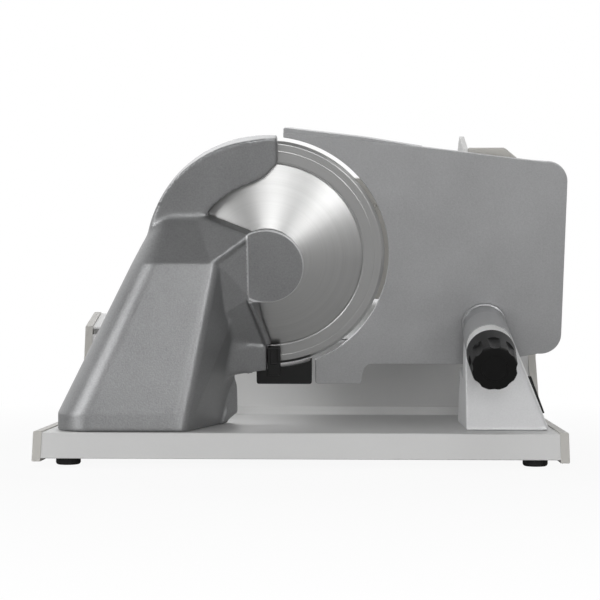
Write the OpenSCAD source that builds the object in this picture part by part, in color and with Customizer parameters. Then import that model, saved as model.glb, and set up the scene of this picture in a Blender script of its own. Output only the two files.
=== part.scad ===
// Food slicer with an inclined 170 mm blade, seen and built from its slice side.
// X runs along the base, Y runs back towards the operator and Z is up, in millimetres.

/* [Base] */
// Overall length over both end caps
body_len = 376; // [360:1:420]
// Depth from the front edge of the deck to the rear wall
body_depth = 252; // [248:1:270]
// Height of the deck above the table
deck_top = 24.5; // [23:0.5:26]
// Height of the rubber feet
foot_h = 6.5; // [5:0.5:8]
// Diameter of a rubber foot
foot_d = 18; // [14:1:22]
// How far the front face leans out at its lower edge
front_lean = 5; // [2:0.5:8]
// Wall of the aluminium profiles
profile_wall = 2.5; // [2:0.1:3]
// Thickness of a plastic end cap
cap_t = 6.2; // [4:0.1:8]
// How far an end cap stands proud of the profiles
cap_proud = 0.8; // [0.4:0.1:1.5]

/* [Rear housing] */
// Distance from the front edge of the deck to the foot of the rear housing
rear_foot_y = 178; // [170:1:182]
// Height of the strip at the foot of the rear housing
strip_h = 7; // [5:0.5:9]
// Distance from the front edge of the deck to the upper lip
lip_y = 210; // [206:1:214]
// Height of the upper lip
lip_z = 95.5; // [92:0.5:97]
// Slope of the top face
top_slope = 15; // [12:0.5:17]
// Height of the guide slot under the lip
slot_h = 4.4; // [3.6:0.1:5]
// Depth of the guide slot
slot_depth = 8; // [6:0.5:9]

/* [Blade] */
// Radius of the blade
blade_r = 85; // [82:0.5:86]
// Tilt of the blade towards the slice side
blade_tilt = 17.5; // [15:0.5:19]
// Blade centre from the left end of the base
blade_end = 163.5; // [159:0.5:167]
// Blade centre behind the front edge of the deck
blade_y = 50; // [48:0.5:54]
// Blade centre above the table
blade_z = 151.5; // [149:0.5:156]
// Width of the flat ring between the blade's edge and its cone
ring_band = 16.4; // [15:0.2:18]
// Height of that turn above the cutting plane
rim_h = 2.7; // [2.2:0.1:3.2]
// Radius of the flat middle of the blade
dish_r = 24; // [22:0.5:26]
// Thickness of the blade
blade_t = 1.6; // [1.2:0.1:2]
// Running gap between the blade and what surrounds it
blade_gap = 1.4; // [1:0.1:2]

/* [Tower] */
// Wall of the cast tower
cast_wall = 3.5; // [3:0.1:4.5]
// How far the blade guard reaches past the blade's edge
guard_over = 3.8; // [3:0.1:5]
// Height of the blade guard in front of the cutting plane
guard_h = 17; // [15:0.5:19]
// Width of the blade guard's crescent
guard_w = 32.4; // [31:0.2:34]
// Turn of the facet at the upper end of the blade guard
facet_angle = 19; // [15:1:24]
// Radius of the round hub in front of the blade
hub_r = 27.1; // [26.5:0.1:28]
// Height of the hub in front of the cutting plane
hub_h = 33; // [32:0.5:35]
// Thickness of the tower's back cover
back_t = 2; // [1.5:0.1:2.5]

/* [Drive] */
// Outer radius of the worm wheel
wheel_r = 22; // [20:0.5:22]
// Width of the worm wheel
wheel_w = 8; // [6:0.5:8]
// Number of teeth of the worm wheel
wheel_teeth = 32; // [24:1:40]
// Outer radius of the worm
worm_r = 5; // [4.5:0.1:5.2]
// Angle of the motor shaft off the upright in the blade's plane
drive_angle = 28; // [26:0.5:30]
// Radius of the motor
motor_r = 23; // [20:0.5:24]
// Length of the motor
motor_len = 47; // [46:1:50]
// Distance from the worm to the motor along the shaft
motor_reach = 89; // [88:0.5:91]
// Radius of the motor shaft
shaft_r = 3; // [2.5:0.1:3.2]
// Radial running gap of bearings, bushes and sliding tubes
run_gap = 0.05; // [0.03:0.01:0.08]

/* [Gauge plate] */
// Thickness of the gauge plate
plate_t = 3; // [2.5:0.1:3.5]
// Gap between the gauge plate and the blade's edge
plate_gap = 3; // [2.6:0.1:3.4]
// Largest slice thickness
slice_max = 15; // [10:1:16]
// Knob axis from the right end of the base
knob_end = 53.8; // [52:0.2:56]
// Knob axis below the blade centre, in the blade's plane
knob_drop = 53.7; // [52:0.1:55]
// Radius of the tube that carries the gauge plate
tube_r = 15.5; // [15:0.1:15.6]
// Length of that tube
tube_len = 31; // [28:0.5:31.5]

/* [Knob] */
// Outer radius of the sleeve on the pedestal
sleeve_r = 16.7; // [16.5:0.1:17.2]
// Front end of the sleeve in front of the cutting plane
sleeve_front = 51.5; // [50:0.5:54]
// Width of the scale ring
ring_w = 13; // [10:0.5:15]
// Radius of the knob at its back
knob_r = 17.3; // [16.8:0.1:18]
// Radius of the knob at its face
knob_face_r = 15.8; // [15:0.1:16.5]
// Length of the knob
knob_len = 33; // [28:0.5:36]
// Number of grip lobes on the knob
knob_lobes = 8; // [6:1:12]

/* [Pedestal] */
// Left face of the pedestal from the knob's axis
ped_reach = 15.8; // [14:0.2:18]
// Right corner of the pedestal's foot from the right end of the base
ped_end = 10.5; // [8:0.5:16]
// Front of the pedestal's foot behind the edge of the deck
ped_front = 25; // [22:0.5:30]
// Back of the pedestal's foot behind the edge of the deck
ped_back = 104; // [98:0.5:108]
// Wall of the pedestal
ped_wall = 3; // [2.5:0.1:3.5]

/* [Carriage] */
// Travel of the carriage to the left
carriage_travel = 174; // [150:1:176]
// Carriage floor below the blade centre, in the blade's plane
floor_drop = 68; // [64:0.5:70]
// Depth of the carriage floor
floor_depth = 172; // [160:1:176]
// Left face of the thrust wall at rest from the right end of the base
wall_end = 71.3; // [69:0.2:74]
// Thickness of the thrust wall
wall_t = 3.6; // [3:0.1:4]
// Top of the thrust wall above the blade centre, in the blade's plane
wall_top = 77; // [74:0.5:79]
// Gap between the cutting plane and the carriage
carriage_gap = 5; // [4.5:0.1:6]
// Sliding gap between the carriage and its rail
slide_gap = 0.35; // [0.3:0.05:0.5]
// Travel of the remnant holder towards the blade
holder_travel = 80; // [60:1:84]

/* [Hidden] */
$fn = 96;
half_len = body_len / 2;
profile_half = half_len - cap_t;
blade_left = half_len - blade_end;             // blade centre to the left of the middle
knob_x = half_len - knob_end;
wall_x = half_len - wall_end;
ped_left = knob_x - ped_reach;
ped_right = half_len - ped_end;
rim_r = blade_r - ring_band;
guard_r = blade_r + guard_over;
guard_inner_r = guard_r - guard_w;
shoe_v = blade_r + 14.4;                       // lower edge of the black foot guard below the blade's axis
rear_y = body_depth;
top_rise = tan(top_slope);
function top_z(y) = lip_z + (y - lip_y) * top_rise;
groove_z = deck_top + strip_h;
wall_foot_y = rear_foot_y + 3;
knee_y = lip_y - 6.5;
knee_z = 70;
slot_top = lip_z - 1.8;
slot_bottom = slot_top - slot_h;
slot_face_y = lip_y - 2;
screw_r = 2;
head_r = 3.8;
bore_r = screw_r + 0.1;
drive_h = hub_h - 4 - 0.5 - wheel_w / 2;       // height of the worm's axis above the cutting plane
cone_rise = (drive_h - worm_r - 3 - rim_h) / (rim_r - wheel_r - worm_r);
dish_h = rim_h + (rim_r - dish_r) * cone_rise;
axle_r = 5;
carrier_circle = 9.6;
worm_end = -10;                                // end of the worm's shaft in its upper bush
ear_angles = [60, 150];                        // where the motor bracket is screwed down
ear_reach = motor_r + 5;
mesh_gap = 0.4;
drive_reach = wheel_r + worm_r + mesh_gap;
worm_u = -drive_reach * cos(drive_angle);
worm_v = drive_reach * sin(drive_angle);
knob_u = knob_x + blade_left;
rear_h = -1;                                   // back plane of the casting
cover_h = rear_h - back_t;
plate_back = -1;
plate_front = plate_back + plate_t;
arc_r = blade_r + plate_gap;
sleeve_back = plate_front + 2.5 + slice_max + 1;
sleeve_bore = tube_r + run_gap;
sleeve_wall_front = 2.5;
spindle_r = 4;
sin_t = sin(blade_tilt);
cos_t = cos(blade_tilt);
// The height above the table and the distance back of a point v up the blade's plane and h in front of it
function world_z(v, h) = blade_z + v * cos_t - h * sin_t;
function world_y(v, h) = blade_y - v * sin_t - h * cos_t;
deck_v = (deck_top - blade_z + rear_h * sin_t) / cos_t;
// Middle of the depth, from the knob's face to the cord gland
gland_len = 11.5;
knob_back = sleeve_front + ring_w + 0.4;
knob_bore = 8.8;
knob_face_h = knob_back + knob_len;
mid_y = (world_y(-knob_drop, knob_face_h) - (knob_face_r - 1.2) * sin_t + rear_y + gland_len) / 2;
right_u = knob_u + 57.1;                       // right edge of the gauge plate from the blade's axis
plate_top = blade_r + 6.2;                     // upper left corner of the gauge plate above that axis
plate_low = blade_r - 0.2;                     // lower edge of the gauge plate below it
plate_foot = plate_low + 15.8;                 // lower edge of the plate's foot
mid_x = (right_u - blade_left - half_len) / 2;
floor_front = carriage_gap;
floor_v = -floor_drop;
carriage_right = profile_half - 1.5;
travel_stop = 8.3;
carriage_left = carriage_travel + travel_stop - half_len;
carriage_len = carriage_right - carriage_left;
holder_stop = 18;
holder_y = holder_stop + holder_travel;

// Frames

// X from the middle of the base, Y from the front edge of the deck
module in_place() {
    translate([-mid_x, -mid_y, 0]) children();
}

// X is to the right and Y up the blade's plane, and Z is in front of the cutting plane
module in_blade() {
    in_place() translate([-blade_left, blade_y, blade_z]) rotate([90 + blade_tilt, 0, 0]) children();
}

// Z runs down the motor shaft from the worm, X towards the blade's axis and Y to the front
module on_drive() {
    in_blade() translate([worm_u, worm_v, drive_h]) rotate([0, 0, -drive_angle]) rotate([90, 0, 0])
        children();
}

// Z runs from the gauge plate to the knob
module on_knob() {
    in_blade() translate([knob_u, -knob_drop, 0]) children();
}

// A section drawn in Y and Z, made long in X
module along_x(x0, x1) {
    translate([x0, 0, 0]) rotate([90, 0, 90]) linear_extrude(x1 - x0) children();
}

module tube(r_out, r_in, h) {
    difference() {
        cylinder(r = r_out, h = h);
        translate([0, 0, -1]) cylinder(r = r_in, h = h + 2);
    }
}

// A pan-head screw that points up, its head's underside at the origin
module screw(r, len, head, head_h) {
    translate([0, 0, -head_h]) difference() {
        cylinder(r = head, h = head_h);
        translate([-head, -0.5, -1]) cube([2 * head, 1, 1 + head_h / 3]);
        translate([-0.5, -head, -1]) cube([1, 2 * head, 1 + head_h / 3]);
    }
    cylinder(r = r, h = len);
}

// Base

foot_x = half_len - 21;
foot_ys = [22, rear_y - 24];
foot_places = [for (x = [-foot_x, foot_x], y = foot_ys) [x, y]];
tower_screw_uy = [[-143.5, 46], [-75.5, 11], [-45.5, 70], [-143.5, 80]];
tower_screw_places = [for (p = tower_screw_uy) [p[0] - blade_left, p[1]]];
pedestal_screw_places = [[ped_left + 8, ped_front + 10], [ped_right - 12, ped_front + 10],
    [ped_left + 8, ped_back - 16], [ped_right - 9, ped_back - 16]];
cover_screw_x = profile_half - 31.8;
cover_screw_places = [for (x = [-cover_screw_x, 0, cover_screw_x], y = [rear_foot_y + 14, rear_y - 10]) [x, y]];
cell_ys = [0, 62, 122, rear_foot_y];

module base_section() {
    w = profile_wall;
    difference() {
        polygon([[-front_lean, foot_h], [0, deck_top], [rear_foot_y, deck_top], [rear_foot_y, groove_z],
            [rear_foot_y + 6, groove_z], [rear_foot_y + 6, foot_h + w], [rear_y - w, foot_h + w],
            [rear_y - w, groove_z], [rear_y, groove_z], [rear_y, foot_h]]);
        for (i = [0:len(cell_ys) - 2])
            polygon([[cell_ys[i] + w / 2 - (i == 0 ? front_lean - 2 : 0), foot_h + w],
                [cell_ys[i] + w / 2 + (i == 0 ? 2 : 0), deck_top - w], [cell_ys[i + 1] - w / 2,
                    deck_top - w],
                [cell_ys[i + 1] - w / 2, foot_h + w]]);
    }
}

cable_slot = [14, 40];
cable_x = -blade_left - 105.5;

module base_profile() color("silver") in_place() difference() {
    along_x(-profile_half, profile_half) base_section();
    for (p = foot_places) translate([p[0], p[1], foot_h - 1]) cylinder(r = bore_r, h = profile_wall + 2);
    for (p = concat(tower_screw_places, pedestal_screw_places)) {
        translate([p[0], p[1], deck_top - profile_wall - 1]) cylinder(r = bore_r, h = profile_wall + 2);
        translate([p[0], p[1], foot_h - 1]) cylinder(r = head_r + 1, h = profile_wall + 2);
    }
    translate([cable_x, 52, deck_top - profile_wall - 1]) cube([cable_slot[0], 20, profile_wall + 2]);
    translate([-profile_half + 20, rear_foot_y + 10, foot_h - 1])
        cube([2 * profile_half - 40, rear_y - rear_foot_y - 24, profile_wall + 2]);
    for (p = cover_screw_places) translate([p[0], p[1], foot_h - 1]) cylinder(r = 1.6,
        h = profile_wall + 2);
    translate([cable_x, rear_foot_y - 4, foot_h + profile_wall + 2]) cube([cable_slot[0], 14, 6]);
    for (y = [62, 122]) translate([cable_x, y - 4, foot_h + profile_wall + 2]) cube([cable_slot[0], 8, 6]);
}

module rear_outline(inset) {
    polygon([[wall_foot_y + inset * 1.2, groove_z - (inset > 0 ? 1 : 0)], [knee_y + inset, knee_z],
        [slot_face_y + inset, slot_bottom - inset], [slot_face_y + slot_depth + 2 * inset,
            slot_bottom - inset],
        [slot_face_y + slot_depth + 2 * inset, top_z(slot_face_y + slot_depth + 2 * inset) - inset],
        [rear_y - inset, top_z(rear_y) - inset], [rear_y - inset, groove_z - (inset > 0 ? 1 : 0)]]);
}

button_x = [half_len - 68, half_len - 96];
button_z = 62;
button_r = 8;
gland_x = half_len - 38;
gland_z = 48;

module rear_housing() color("silver") in_place() difference() {
    union() {
        along_x(-profile_half, profile_half) difference() {
            union() {
                rear_outline(0);
                polygon([[lip_y, slot_top], [lip_y, lip_z], [slot_face_y + slot_depth + 1, top_z(slot_face_y
                    + slot_depth + 1)], [slot_face_y + slot_depth + 1, slot_top]]);
            }
            rear_outline(profile_wall);
            translate([rear_y - profile_wall - 1, top_z(rear_y) - 12]) square([6, slot_h]);
        }
        along_x(-profile_half, profile_half)
            polygon([[rear_y - 10, top_z(rear_y) - 14.5], [rear_y - 10, top_z(rear_y - 10) - 1],
                [rear_y - 7.5, top_z(rear_y - 10) - 1], [rear_y - 7.5, top_z(rear_y) - 12],
                [rear_y, top_z(rear_y) - 12], [rear_y, top_z(rear_y) - 14.5]]);
    }
    for (x = button_x) translate([x, rear_y + 1, button_z]) rotate([90, 0, 0])
        cylinder(r = button_r + 0.4, h = profile_wall + 3);
    translate([gland_x, rear_y + 1, gland_z]) rotate([90, 0, 0]) cylinder(r = 6, h = profile_wall + 3);
}

module cap_outline(grow) {
    polygon([[-front_lean - grow - 0.2, foot_h - 2 * (grow > 0 ? 1 : 0)], [-grow, deck_top + grow],
        [rear_foot_y - grow, deck_top + grow], [rear_foot_y - grow, groove_z + grow],
        [knee_y - grow, knee_z + grow / 2], [lip_y - grow - 0.4, slot_top], [lip_y - grow, lip_z + grow],
        [rear_y + grow, top_z(rear_y + grow) + grow], [rear_y + grow, foot_h - 2 * (grow > 0 ? 1 : 0)]]);
}

// A side cap: the plate itself and the plugs that hold it in the profiles
module end_cap() {
    w = profile_wall + 0.15;
    translate([profile_half, 0, 0]) {
        along_x(0, cap_t) cap_outline(cap_proud);
        for (i = [1:len(cell_ys) - 2])
            translate([-9, cell_ys[i] + w / 2 + 6, foot_h + w]) cube([9.2, 10, deck_top - foot_h - 2 * w]);
        translate([-9, 8, foot_h + w]) cube([9.2, 10, deck_top - foot_h - 2 * w]);
        translate([-9, rear_foot_y + 16, foot_h + profile_wall + 0.2]) cube([9.2, 12, 12]);
        translate([-9, rear_y - w - 12, groove_z + 6]) cube([9.2, 11.8, 22]);
    }
}

module right_end_cap() color("gainsboro") in_place() end_cap();

module left_end_cap() color("gainsboro") in_place() mirror([1, 0, 0]) end_cap();

module bottom_cover() color([0.2, 0.2, 0.2]) in_place() difference() {
    translate([-profile_half + 8, rear_foot_y + 6, foot_h - 1.6])
        cube([2 * profile_half - 16, rear_y - rear_foot_y - 10, 1.5]);
    for (p = cover_screw_places) translate([p[0], p[1], foot_h - 3]) cylinder(r = 1.7, h = 4);
    for (p = foot_places) translate([p[0], p[1], foot_h - 3]) cylinder(r = foot_d / 2 + 0.6, h = 4);
    for (x = [-90:12:90]) translate([x, rear_foot_y + 30, foot_h - 3]) cube([5, 26, 4]);
}

module bottom_cover_screws() color("dimgray") in_place()
    for (p = cover_screw_places) translate([p[0], p[1], foot_h - 1.65]) screw(1.5, 7, 2.8, 1.4);

module rubber_feet() color([0.07, 0.07, 0.07]) in_place()
    for (p = foot_places) translate([p[0], p[1], 0]) difference() {
        rotate_extrude() polygon([[0, 0.6], [foot_d / 2 - 3.5, 0.6], [foot_d / 2 - 3.2, 0],
            [foot_d / 2 - 1.2, 0], [foot_d / 2, 1.4], [foot_d / 2 - 0.3, foot_h - 0.02], [0,
                foot_h - 0.02]]);
        translate([0, 0, -1]) cylinder(r = head_r + 0.2, h = 4);
        translate([0, 0, 2]) cylinder(r = bore_r, h = foot_h);
    }

module foot_screws() color("dimgray") in_place()
    for (p = foot_places) translate([p[0], p[1], 2.95]) screw(screw_r, foot_h + 4, head_r, 1.6);

// Tower

// The leg's outline at one height: straight right wall that spreads to the rear, round front left corner
module leg_outline(left, front, right, right_rear, rear, r) {
    translate([left + r, front + r]) circle(r = r, $fn = 32);
    translate([right - edge_r, front + edge_r]) circle(r = edge_r, $fn = 32);
    polygon([[left + r, front], [right - edge_r, front], [right_rear, rear], [left, rear], [left, front + r]]);
}

leg_left = -151.1;
flange_us = [[-45.5, 74], [-33, 74], [-25.7, 82], [-25.7, 94], [-45.5, 94]];
edge_r = 5.5;
leg_foot = 37;
roof_z = 144;
crest_z = 179.5;

module leg_solid(inset) translate([-blade_left, 0, 0]) {
    i = inset;
    skin = 0.4;
    hull() {
        translate([0, 0, deck_top - (i > 0 ? 1 : 0)]) linear_extrude(leg_foot - deck_top + (i > 0 ? 1 : 0))
            leg_outline(leg_left + i, 3 + i, -54 - i, -31.5 - i, 100, 27 - i);
        translate([0, 0, roof_z - skin - i]) linear_extrude(skin)
            leg_outline(-98 + i, 9 + i, -31.5 - i, -11.5 - i, 60, 22 - i);
    }
    if (i == 0) hull() {
        translate([0, 0, roof_z - skin]) linear_extrude(skin)
            leg_outline(-98, 9, -31.5, -11.5, 60, 22);
        translate([0, 0, crest_z - skin]) linear_extrude(skin)
            leg_outline(-80.1, 24.4, -43, -27.5, 50, 12);
        translate([0, blade_y, blade_z]) rotate([90 + blade_tilt, 0, 0])
            translate([-13.6, 21, 4]) cube([2, 2, hub_h - 4.2]);
    }
    if (i == 0) translate([0, 0, deck_top]) linear_extrude(41) polygon(flange_us);
}

// From the leg across to the hub and down to the black foot guard: a ridge, the web behind it and a foot
module hub_arm() {
    hull() {
        translate([-13.5, -27.4, 4]) cube([2.3, 2, hub_h - 4]);
        translate([-3.5, 31.4 - shoe_v, 2]) cube([4.4, 2, 6]);
    }
    translate([-13.5, -27.4, 4]) cube([2.3, 50.4, hub_h - 4]);
    hull() {
        translate([-13.5, -27.4, 4]) cube([1, 48.4, 27]);
        translate([-3.5, 31.4 - shoe_v, 2]) cube([1, 2, 5]);
        translate([-33.5, 3, 4]) cube([1, 1, 34]);
        translate([-38, -40, 4]) cube([1, 1, 26]);
        translate([-38, 31.4 - shoe_v, 4]) cube([1, 1, 12]);
    }
    hull() {
        translate([-38, 9.4 - shoe_v, rear_h]) cube([4, 28, 21]);
        translate([-4, 10.9 - shoe_v, rear_h]) cube([2, 19.5, 8]);
    }
}

// The crescent: round outside, round inside and cut off along a slope at its upper end
module guard_outline() difference() {
    intersection() {
        circle(r = guard_r, $fn = 180);
        polygon([[8, 0], [8, guard_r + 6], [-guard_r - 6, guard_r + 6], [-guard_r - 6, 22], [-60, 0]]);
    }
    circle(r = guard_inner_r, $fn = 128);
    translate([0, guard_inner_r])
        polygon([[-16, -6.4], [-8.5, 1.2], [-1.3, 4.5], [3.1, 8.8], [9, 14.6], [9, -6.4]]);
}

// The space that the blade turns in, grown by g
module blade_space(g) {
    lift = blade_gap + g;
    rotate_extrude($fn = 160) polygon([[0, rear_h - 6], [blade_r + blade_gap + g, rear_h - 6],
        [blade_r + blade_gap + g, 1.8 + lift], [rim_r + 2, rim_h + lift], [dish_r, dish_h + lift],
        [0, dish_h + lift]]);
}

cover_screw_uv = [[-133, -122], [-39, -124], [-34, -94], [-101, -30]];

module tower_housing() color([0.62, 0.63, 0.64]) {
    difference() {
        union() {
            intersection() {
                in_place() leg_solid(0);
                in_blade() translate([-200, -200, rear_h]) cube([400, 400, 200]);
            }
            in_blade() {
                hub_arm();
                translate([0, 0, rear_h]) linear_extrude(guard_h - rear_h) guard_outline();
                intersection() {
                    cylinder(r = hub_r, h = hub_h);
                    translate([-13.5, -hub_r, 0]) cube([2 * hub_r, 2 * hub_r, hub_h]);
                }
                translate([-13.5, -27.4, 4]) cube([17, 4, hub_h - 4]);
            }
        }
        in_blade() {
            blade_space(0);
            translate([0, 0, dish_h]) cylinder(r = wheel_r + 0.7, h = drive_h + wheel_w / 2 + 0.5 - dish_h);
            cylinder(r = axle_r + 0.03, h = hub_h - 0.8);
            translate([-13, -shoe_v - 2.6, rear_h - 1]) cube([40, 14.2, 50]);
            translate([-10, 9.4 - shoe_v, 6]) cube([40, 20.5, 50]);
            translate([-12, 30, guard_h]) rotate([0, facet_angle, 0]) cube([60, 80, 20]);
        }
        difference() {
            intersection() {
                in_place() leg_solid(cast_wall);
                in_blade() translate([-200, -200, rear_h - 5]) cube([400, 400, 200]);
            }
            in_blade() blade_space(cast_wall);
            on_drive() translate([0, 0, worm_end - 3]) cylinder(r = worm_r + 4,
                h = motor_reach - worm_end - 11);
            for (p = tower_screw_places) in_place() translate([p[0], p[1], 20]) cylinder(r = 6.5, h = 22);
            for (p = cover_screw_uv) in_blade() translate([p[0], p[1], rear_h]) cylinder(r = 5, h = 26);
            on_drive() translate([-motor_r - 30, 9, motor_reach - 16]) cube([2 * motor_r + 60, 90, 12.3]);
        }
        on_drive() {
            translate([0, 0, worm_end - 0.2]) cylinder(r = worm_r + 0.6, h = motor_reach + 30);
            for (a = ear_angles) rotate([0, 0, a]) {
                translate([ear_reach, 0, motor_reach - 14]) cylinder(r = 1.6, h = 12);
                translate([14, 0, motor_reach - 5.6]) cylinder(r = 2.8, h = 3);
            }
        }
        for (p = tower_screw_places) in_place() translate([p[0], p[1], 20]) cylinder(r = bore_r, h = 18);
        for (p = cover_screw_uv) in_blade() translate([p[0], p[1], rear_h - 1]) cylinder(r = 1.6, h = 14);
    }
}

module tower_back_cover() color([0.3, 0.3, 0.31]) in_blade() difference() {
    translate([0, 0, cover_h]) linear_extrude(back_t - 0.02) difference() {
        polygon([[-149, deck_v + 1.5], [-149, -121], [-99, -20], [-60, -20], [-28, -60], [-28, -112],
            [-34, -118], [-34, deck_v + 1.5]]);
        circle(r = blade_r + blade_gap + 0.6, $fn = 160);
    }
    for (p = cover_screw_uv) translate([p[0], p[1], cover_h - 1]) cylinder(r = 1.8, h = back_t + 2);
}

module back_cover_screws() color("dimgray") in_blade()
    for (p = cover_screw_uv) translate([p[0], p[1], cover_h - 0.02]) screw(1.5, 12, 2.8, 1.2);

module tower_screws() color("dimgray") in_place()
    for (p = tower_screw_places) translate([p[0], p[1], deck_top - profile_wall - 0.02])
        screw(screw_r, profile_wall + 11, head_r, 2.4);

module blade_foot_guard() color([0.05, 0.05, 0.05]) in_blade() difference() {
    union() {
        translate([0, 0, rear_h]) linear_extrude(6 - rear_h) difference() {
            translate([0, -shoe_v]) polygon([[-10.3, 1], [-9.4, 0], [30, 0], [31, 1], [31.2, 18.4], [8, 19.4],
                [-1.7, 19.4], [-1.7, 11.1], [-9.6, 11.1], [-10.3, 10.4]]);
            circle(r = blade_r + 1.2, $fn = 160);
        }
        translate([-1.7, 7.4 - shoe_v, 1]) cube([9.5, 22.4, 7.2]);
    }
    translate([0, 0, rear_h - 1]) cylinder(r = blade_r + 1.2, h = 4.6 + 1 - rear_h, $fn = 160);
    translate([0, 16.4 - shoe_v, 7]) cube([6.2, 11.6, 4]);
    for (u = [-6, 26]) translate([u, 5.4 - shoe_v, rear_h - 1]) cylinder(r = 1.6, h = 5);
}

module foot_guard_screws() color("dimgray") in_blade()
    for (u = [-6, 26]) translate([u, 5.4 - shoe_v, rear_h - 0.02]) screw(1.5, 4, 2.6, 1.2);

// Drive

module hub_axle() color("lightgray") in_blade()
    translate([0, 0, dish_h - 8]) cylinder(r = axle_r, h = hub_h - 1 - dish_h + 8);

module worm_wheel() color("ivory") in_blade() difference() {
    union() {
        translate([0, 0, drive_h - wheel_w / 2]) linear_extrude(wheel_w) difference() {
            circle(r = wheel_r);
            for (i = [0:wheel_teeth - 1]) rotate(360 * (i + 0.5) / wheel_teeth) translate([wheel_r, 0])
                circle(r = 1.1, $fn = 8);
        }
        translate([0, 0, dish_h + 0.3]) cylinder(r = 15, h = drive_h - dish_h);
    }
    translate([0, 0, dish_h - 2]) cylinder(r = axle_r + 2.02, h = 30);
    for (a = [0:60:300]) rotate([0, 0, a]) translate([14.5, 0, drive_h + 1]) cylinder(r = 3, h = 10);
    for (a = [30:120:270]) rotate([0, 0, a]) translate([carrier_circle, 0, dish_h]) cylinder(r = 1.3,
        h = 7);
}

module worm_wheel_bush() color("goldenrod") in_blade() translate([0, 0, dish_h - 7])
    tube(axle_r + 2, axle_r + run_gap, drive_h + wheel_w / 2 - dish_h + 6.5);

module blade_carrier() color("silver") in_blade() translate([0, 0, dish_h - blade_t - 5.2]) difference() {
    union() {
        cylinder(r = 15, h = 5);
        cylinder(r = 11.9, h = 5 + blade_t + 0.4);
    }
    translate([0, 0, -1]) cylinder(r = axle_r + 2.02, h = 12);
    for (a = [30:120:270]) rotate([0, 0, a]) translate([carrier_circle, 0, -1]) cylinder(r = 1.4, h = 12);
    for (a = [90, 210, 330]) rotate([0, 0, a]) translate([11.6, 0, -1]) cylinder(r = 1.5, h = 3);
}

module carrier_screws() color("dimgray") in_blade() for (a = [30:120:270])
    rotate([0, 0, a]) translate([carrier_circle, 0, dish_h - blade_t - 5.22]) screw(1.25, 12, 2.2, 1.2);

module blade() color([0.85, 0.85, 0.85]) in_blade() difference() {
    rotate_extrude($fn = 180) polygon([[12, dish_h - blade_t], [dish_r - 0.3, dish_h - blade_t],
        [rim_r - 1.2, rim_h - blade_t], [blade_r - 4, -0.2], [blade_r, 0], [blade_r - 2.5, 0.9],
        [rim_r + 0.8, rim_h], [dish_r, dish_h], [12, dish_h]]);
    for (a = [0:120:240]) rotate([0, 0, a + 90]) translate([18.5, 0, dish_h - 3]) cylinder(r = 2.2, h = 5);
}

module blade_lock_screw() color([0.1, 0.1, 0.1]) in_blade()
    translate([0, 0, dish_h - blade_t - 5.2 - 1.3]) difference() {
        union() {
            translate([0, 0, -3.2]) cylinder(r = 9, h = 3);
            translate([0, 0, -6.4]) cylinder(r1 = 7.4, r2 = 8.2, h = 3.25);
            translate([0, 0, -0.25]) cylinder(r = 6.8, h = 1.3);
        }
        translate([-1.2, -10, -7]) cube([2.4, 20, 2.6]);
        translate([0, 0, -1.5]) cylinder(r = axle_r + 0.3, h = 5);
    }

worm_turns = 5;
worm_pitch = 2.8;

module worm_shaft() color("lightgray") on_drive() {
    translate([0, 0, worm_end]) cylinder(r = shaft_r, h = motor_reach - 22 - worm_end);
    cylinder(r = worm_r - 1.4, h = worm_turns * worm_pitch - 0.6, center = true);
    for (i = [0:worm_turns - 1]) translate([0, 0, (i - (worm_turns - 1) / 2) * worm_pitch - 0.7])
        cylinder(r = worm_r, h = 1.4);
}

module worm_bush() color("goldenrod") on_drive() {
    translate([0, 0, worm_end]) tube(worm_r + 0.58, shaft_r + run_gap, 2.7);
    translate([0, 0, motor_reach - 50]) tube(worm_r + 0.58, shaft_r + run_gap, 6);
}

module shaft_coupling() color([0.1, 0.1, 0.1]) on_drive()
    translate([0, 0, motor_reach - 26]) difference() {
        cylinder(r = worm_r, h = 15);
        translate([0, 0, -1]) cylinder(r = shaft_r + 0.01, h = 18);
    }

module motor_can() color([0.35, 0.35, 0.36]) on_drive() translate([0, 0, motor_reach]) difference() {
    cylinder(r = motor_r, h = motor_len);
    translate([0, 0, 3]) cylinder(r = motor_r - 1.6, h = 10);
    translate([0, 0, 12]) cylinder(r = 13.4, h = motor_len - 24);
    translate([0, 0, motor_len - 14]) cylinder(r = motor_r - 1.6, h = 11);
    translate([0, 0, -1]) cylinder(r = 8, h = 6);
    translate([0, 0, motor_len - 2.5]) cylinder(r = 8, h = 1.5);
    translate([0, 0, motor_len - 4]) cylinder(r = 8, h = 2.5);
    for (a = [0:60:300]) rotate([0, 0, a + 30]) translate([motor_r - 3, 0, motor_len - 9])
        cube([8, 9, 6], center = true);
    for (a = ear_angles) rotate([0, 0, a]) translate([14, 0, -1]) cylinder(r = 1.3, h = 8);
}

module motor_rotor() color([0.7, 0.45, 0.25]) on_drive() {
    translate([0, 0, motor_reach - 19]) cylinder(r = shaft_r, h = motor_len + 19 - 1.2);
    translate([0, 0, motor_reach + 13]) cylinder(r = 12.8, h = motor_len - 27);
    translate([0, 0, motor_reach + motor_len - 13]) cylinder(r = 8.4, h = 8);
    translate([0, 0, motor_reach + 4.2]) difference() {
        cylinder(r = motor_r - 2.4, h = 6.5);
        for (a = [0:40:320]) rotate([0, 0, a]) translate([9, -2, 1.2]) cube([20, 4.6, 8]);
    }
}

module motor_bearings() color("goldenrod") on_drive() {
    translate([0, 0, motor_reach - 0.5]) tube(7.98, shaft_r + run_gap, 3.2);
    translate([0, 0, motor_reach + motor_len - 3.9]) tube(7.98, shaft_r + run_gap, 2.8);
}

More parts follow.
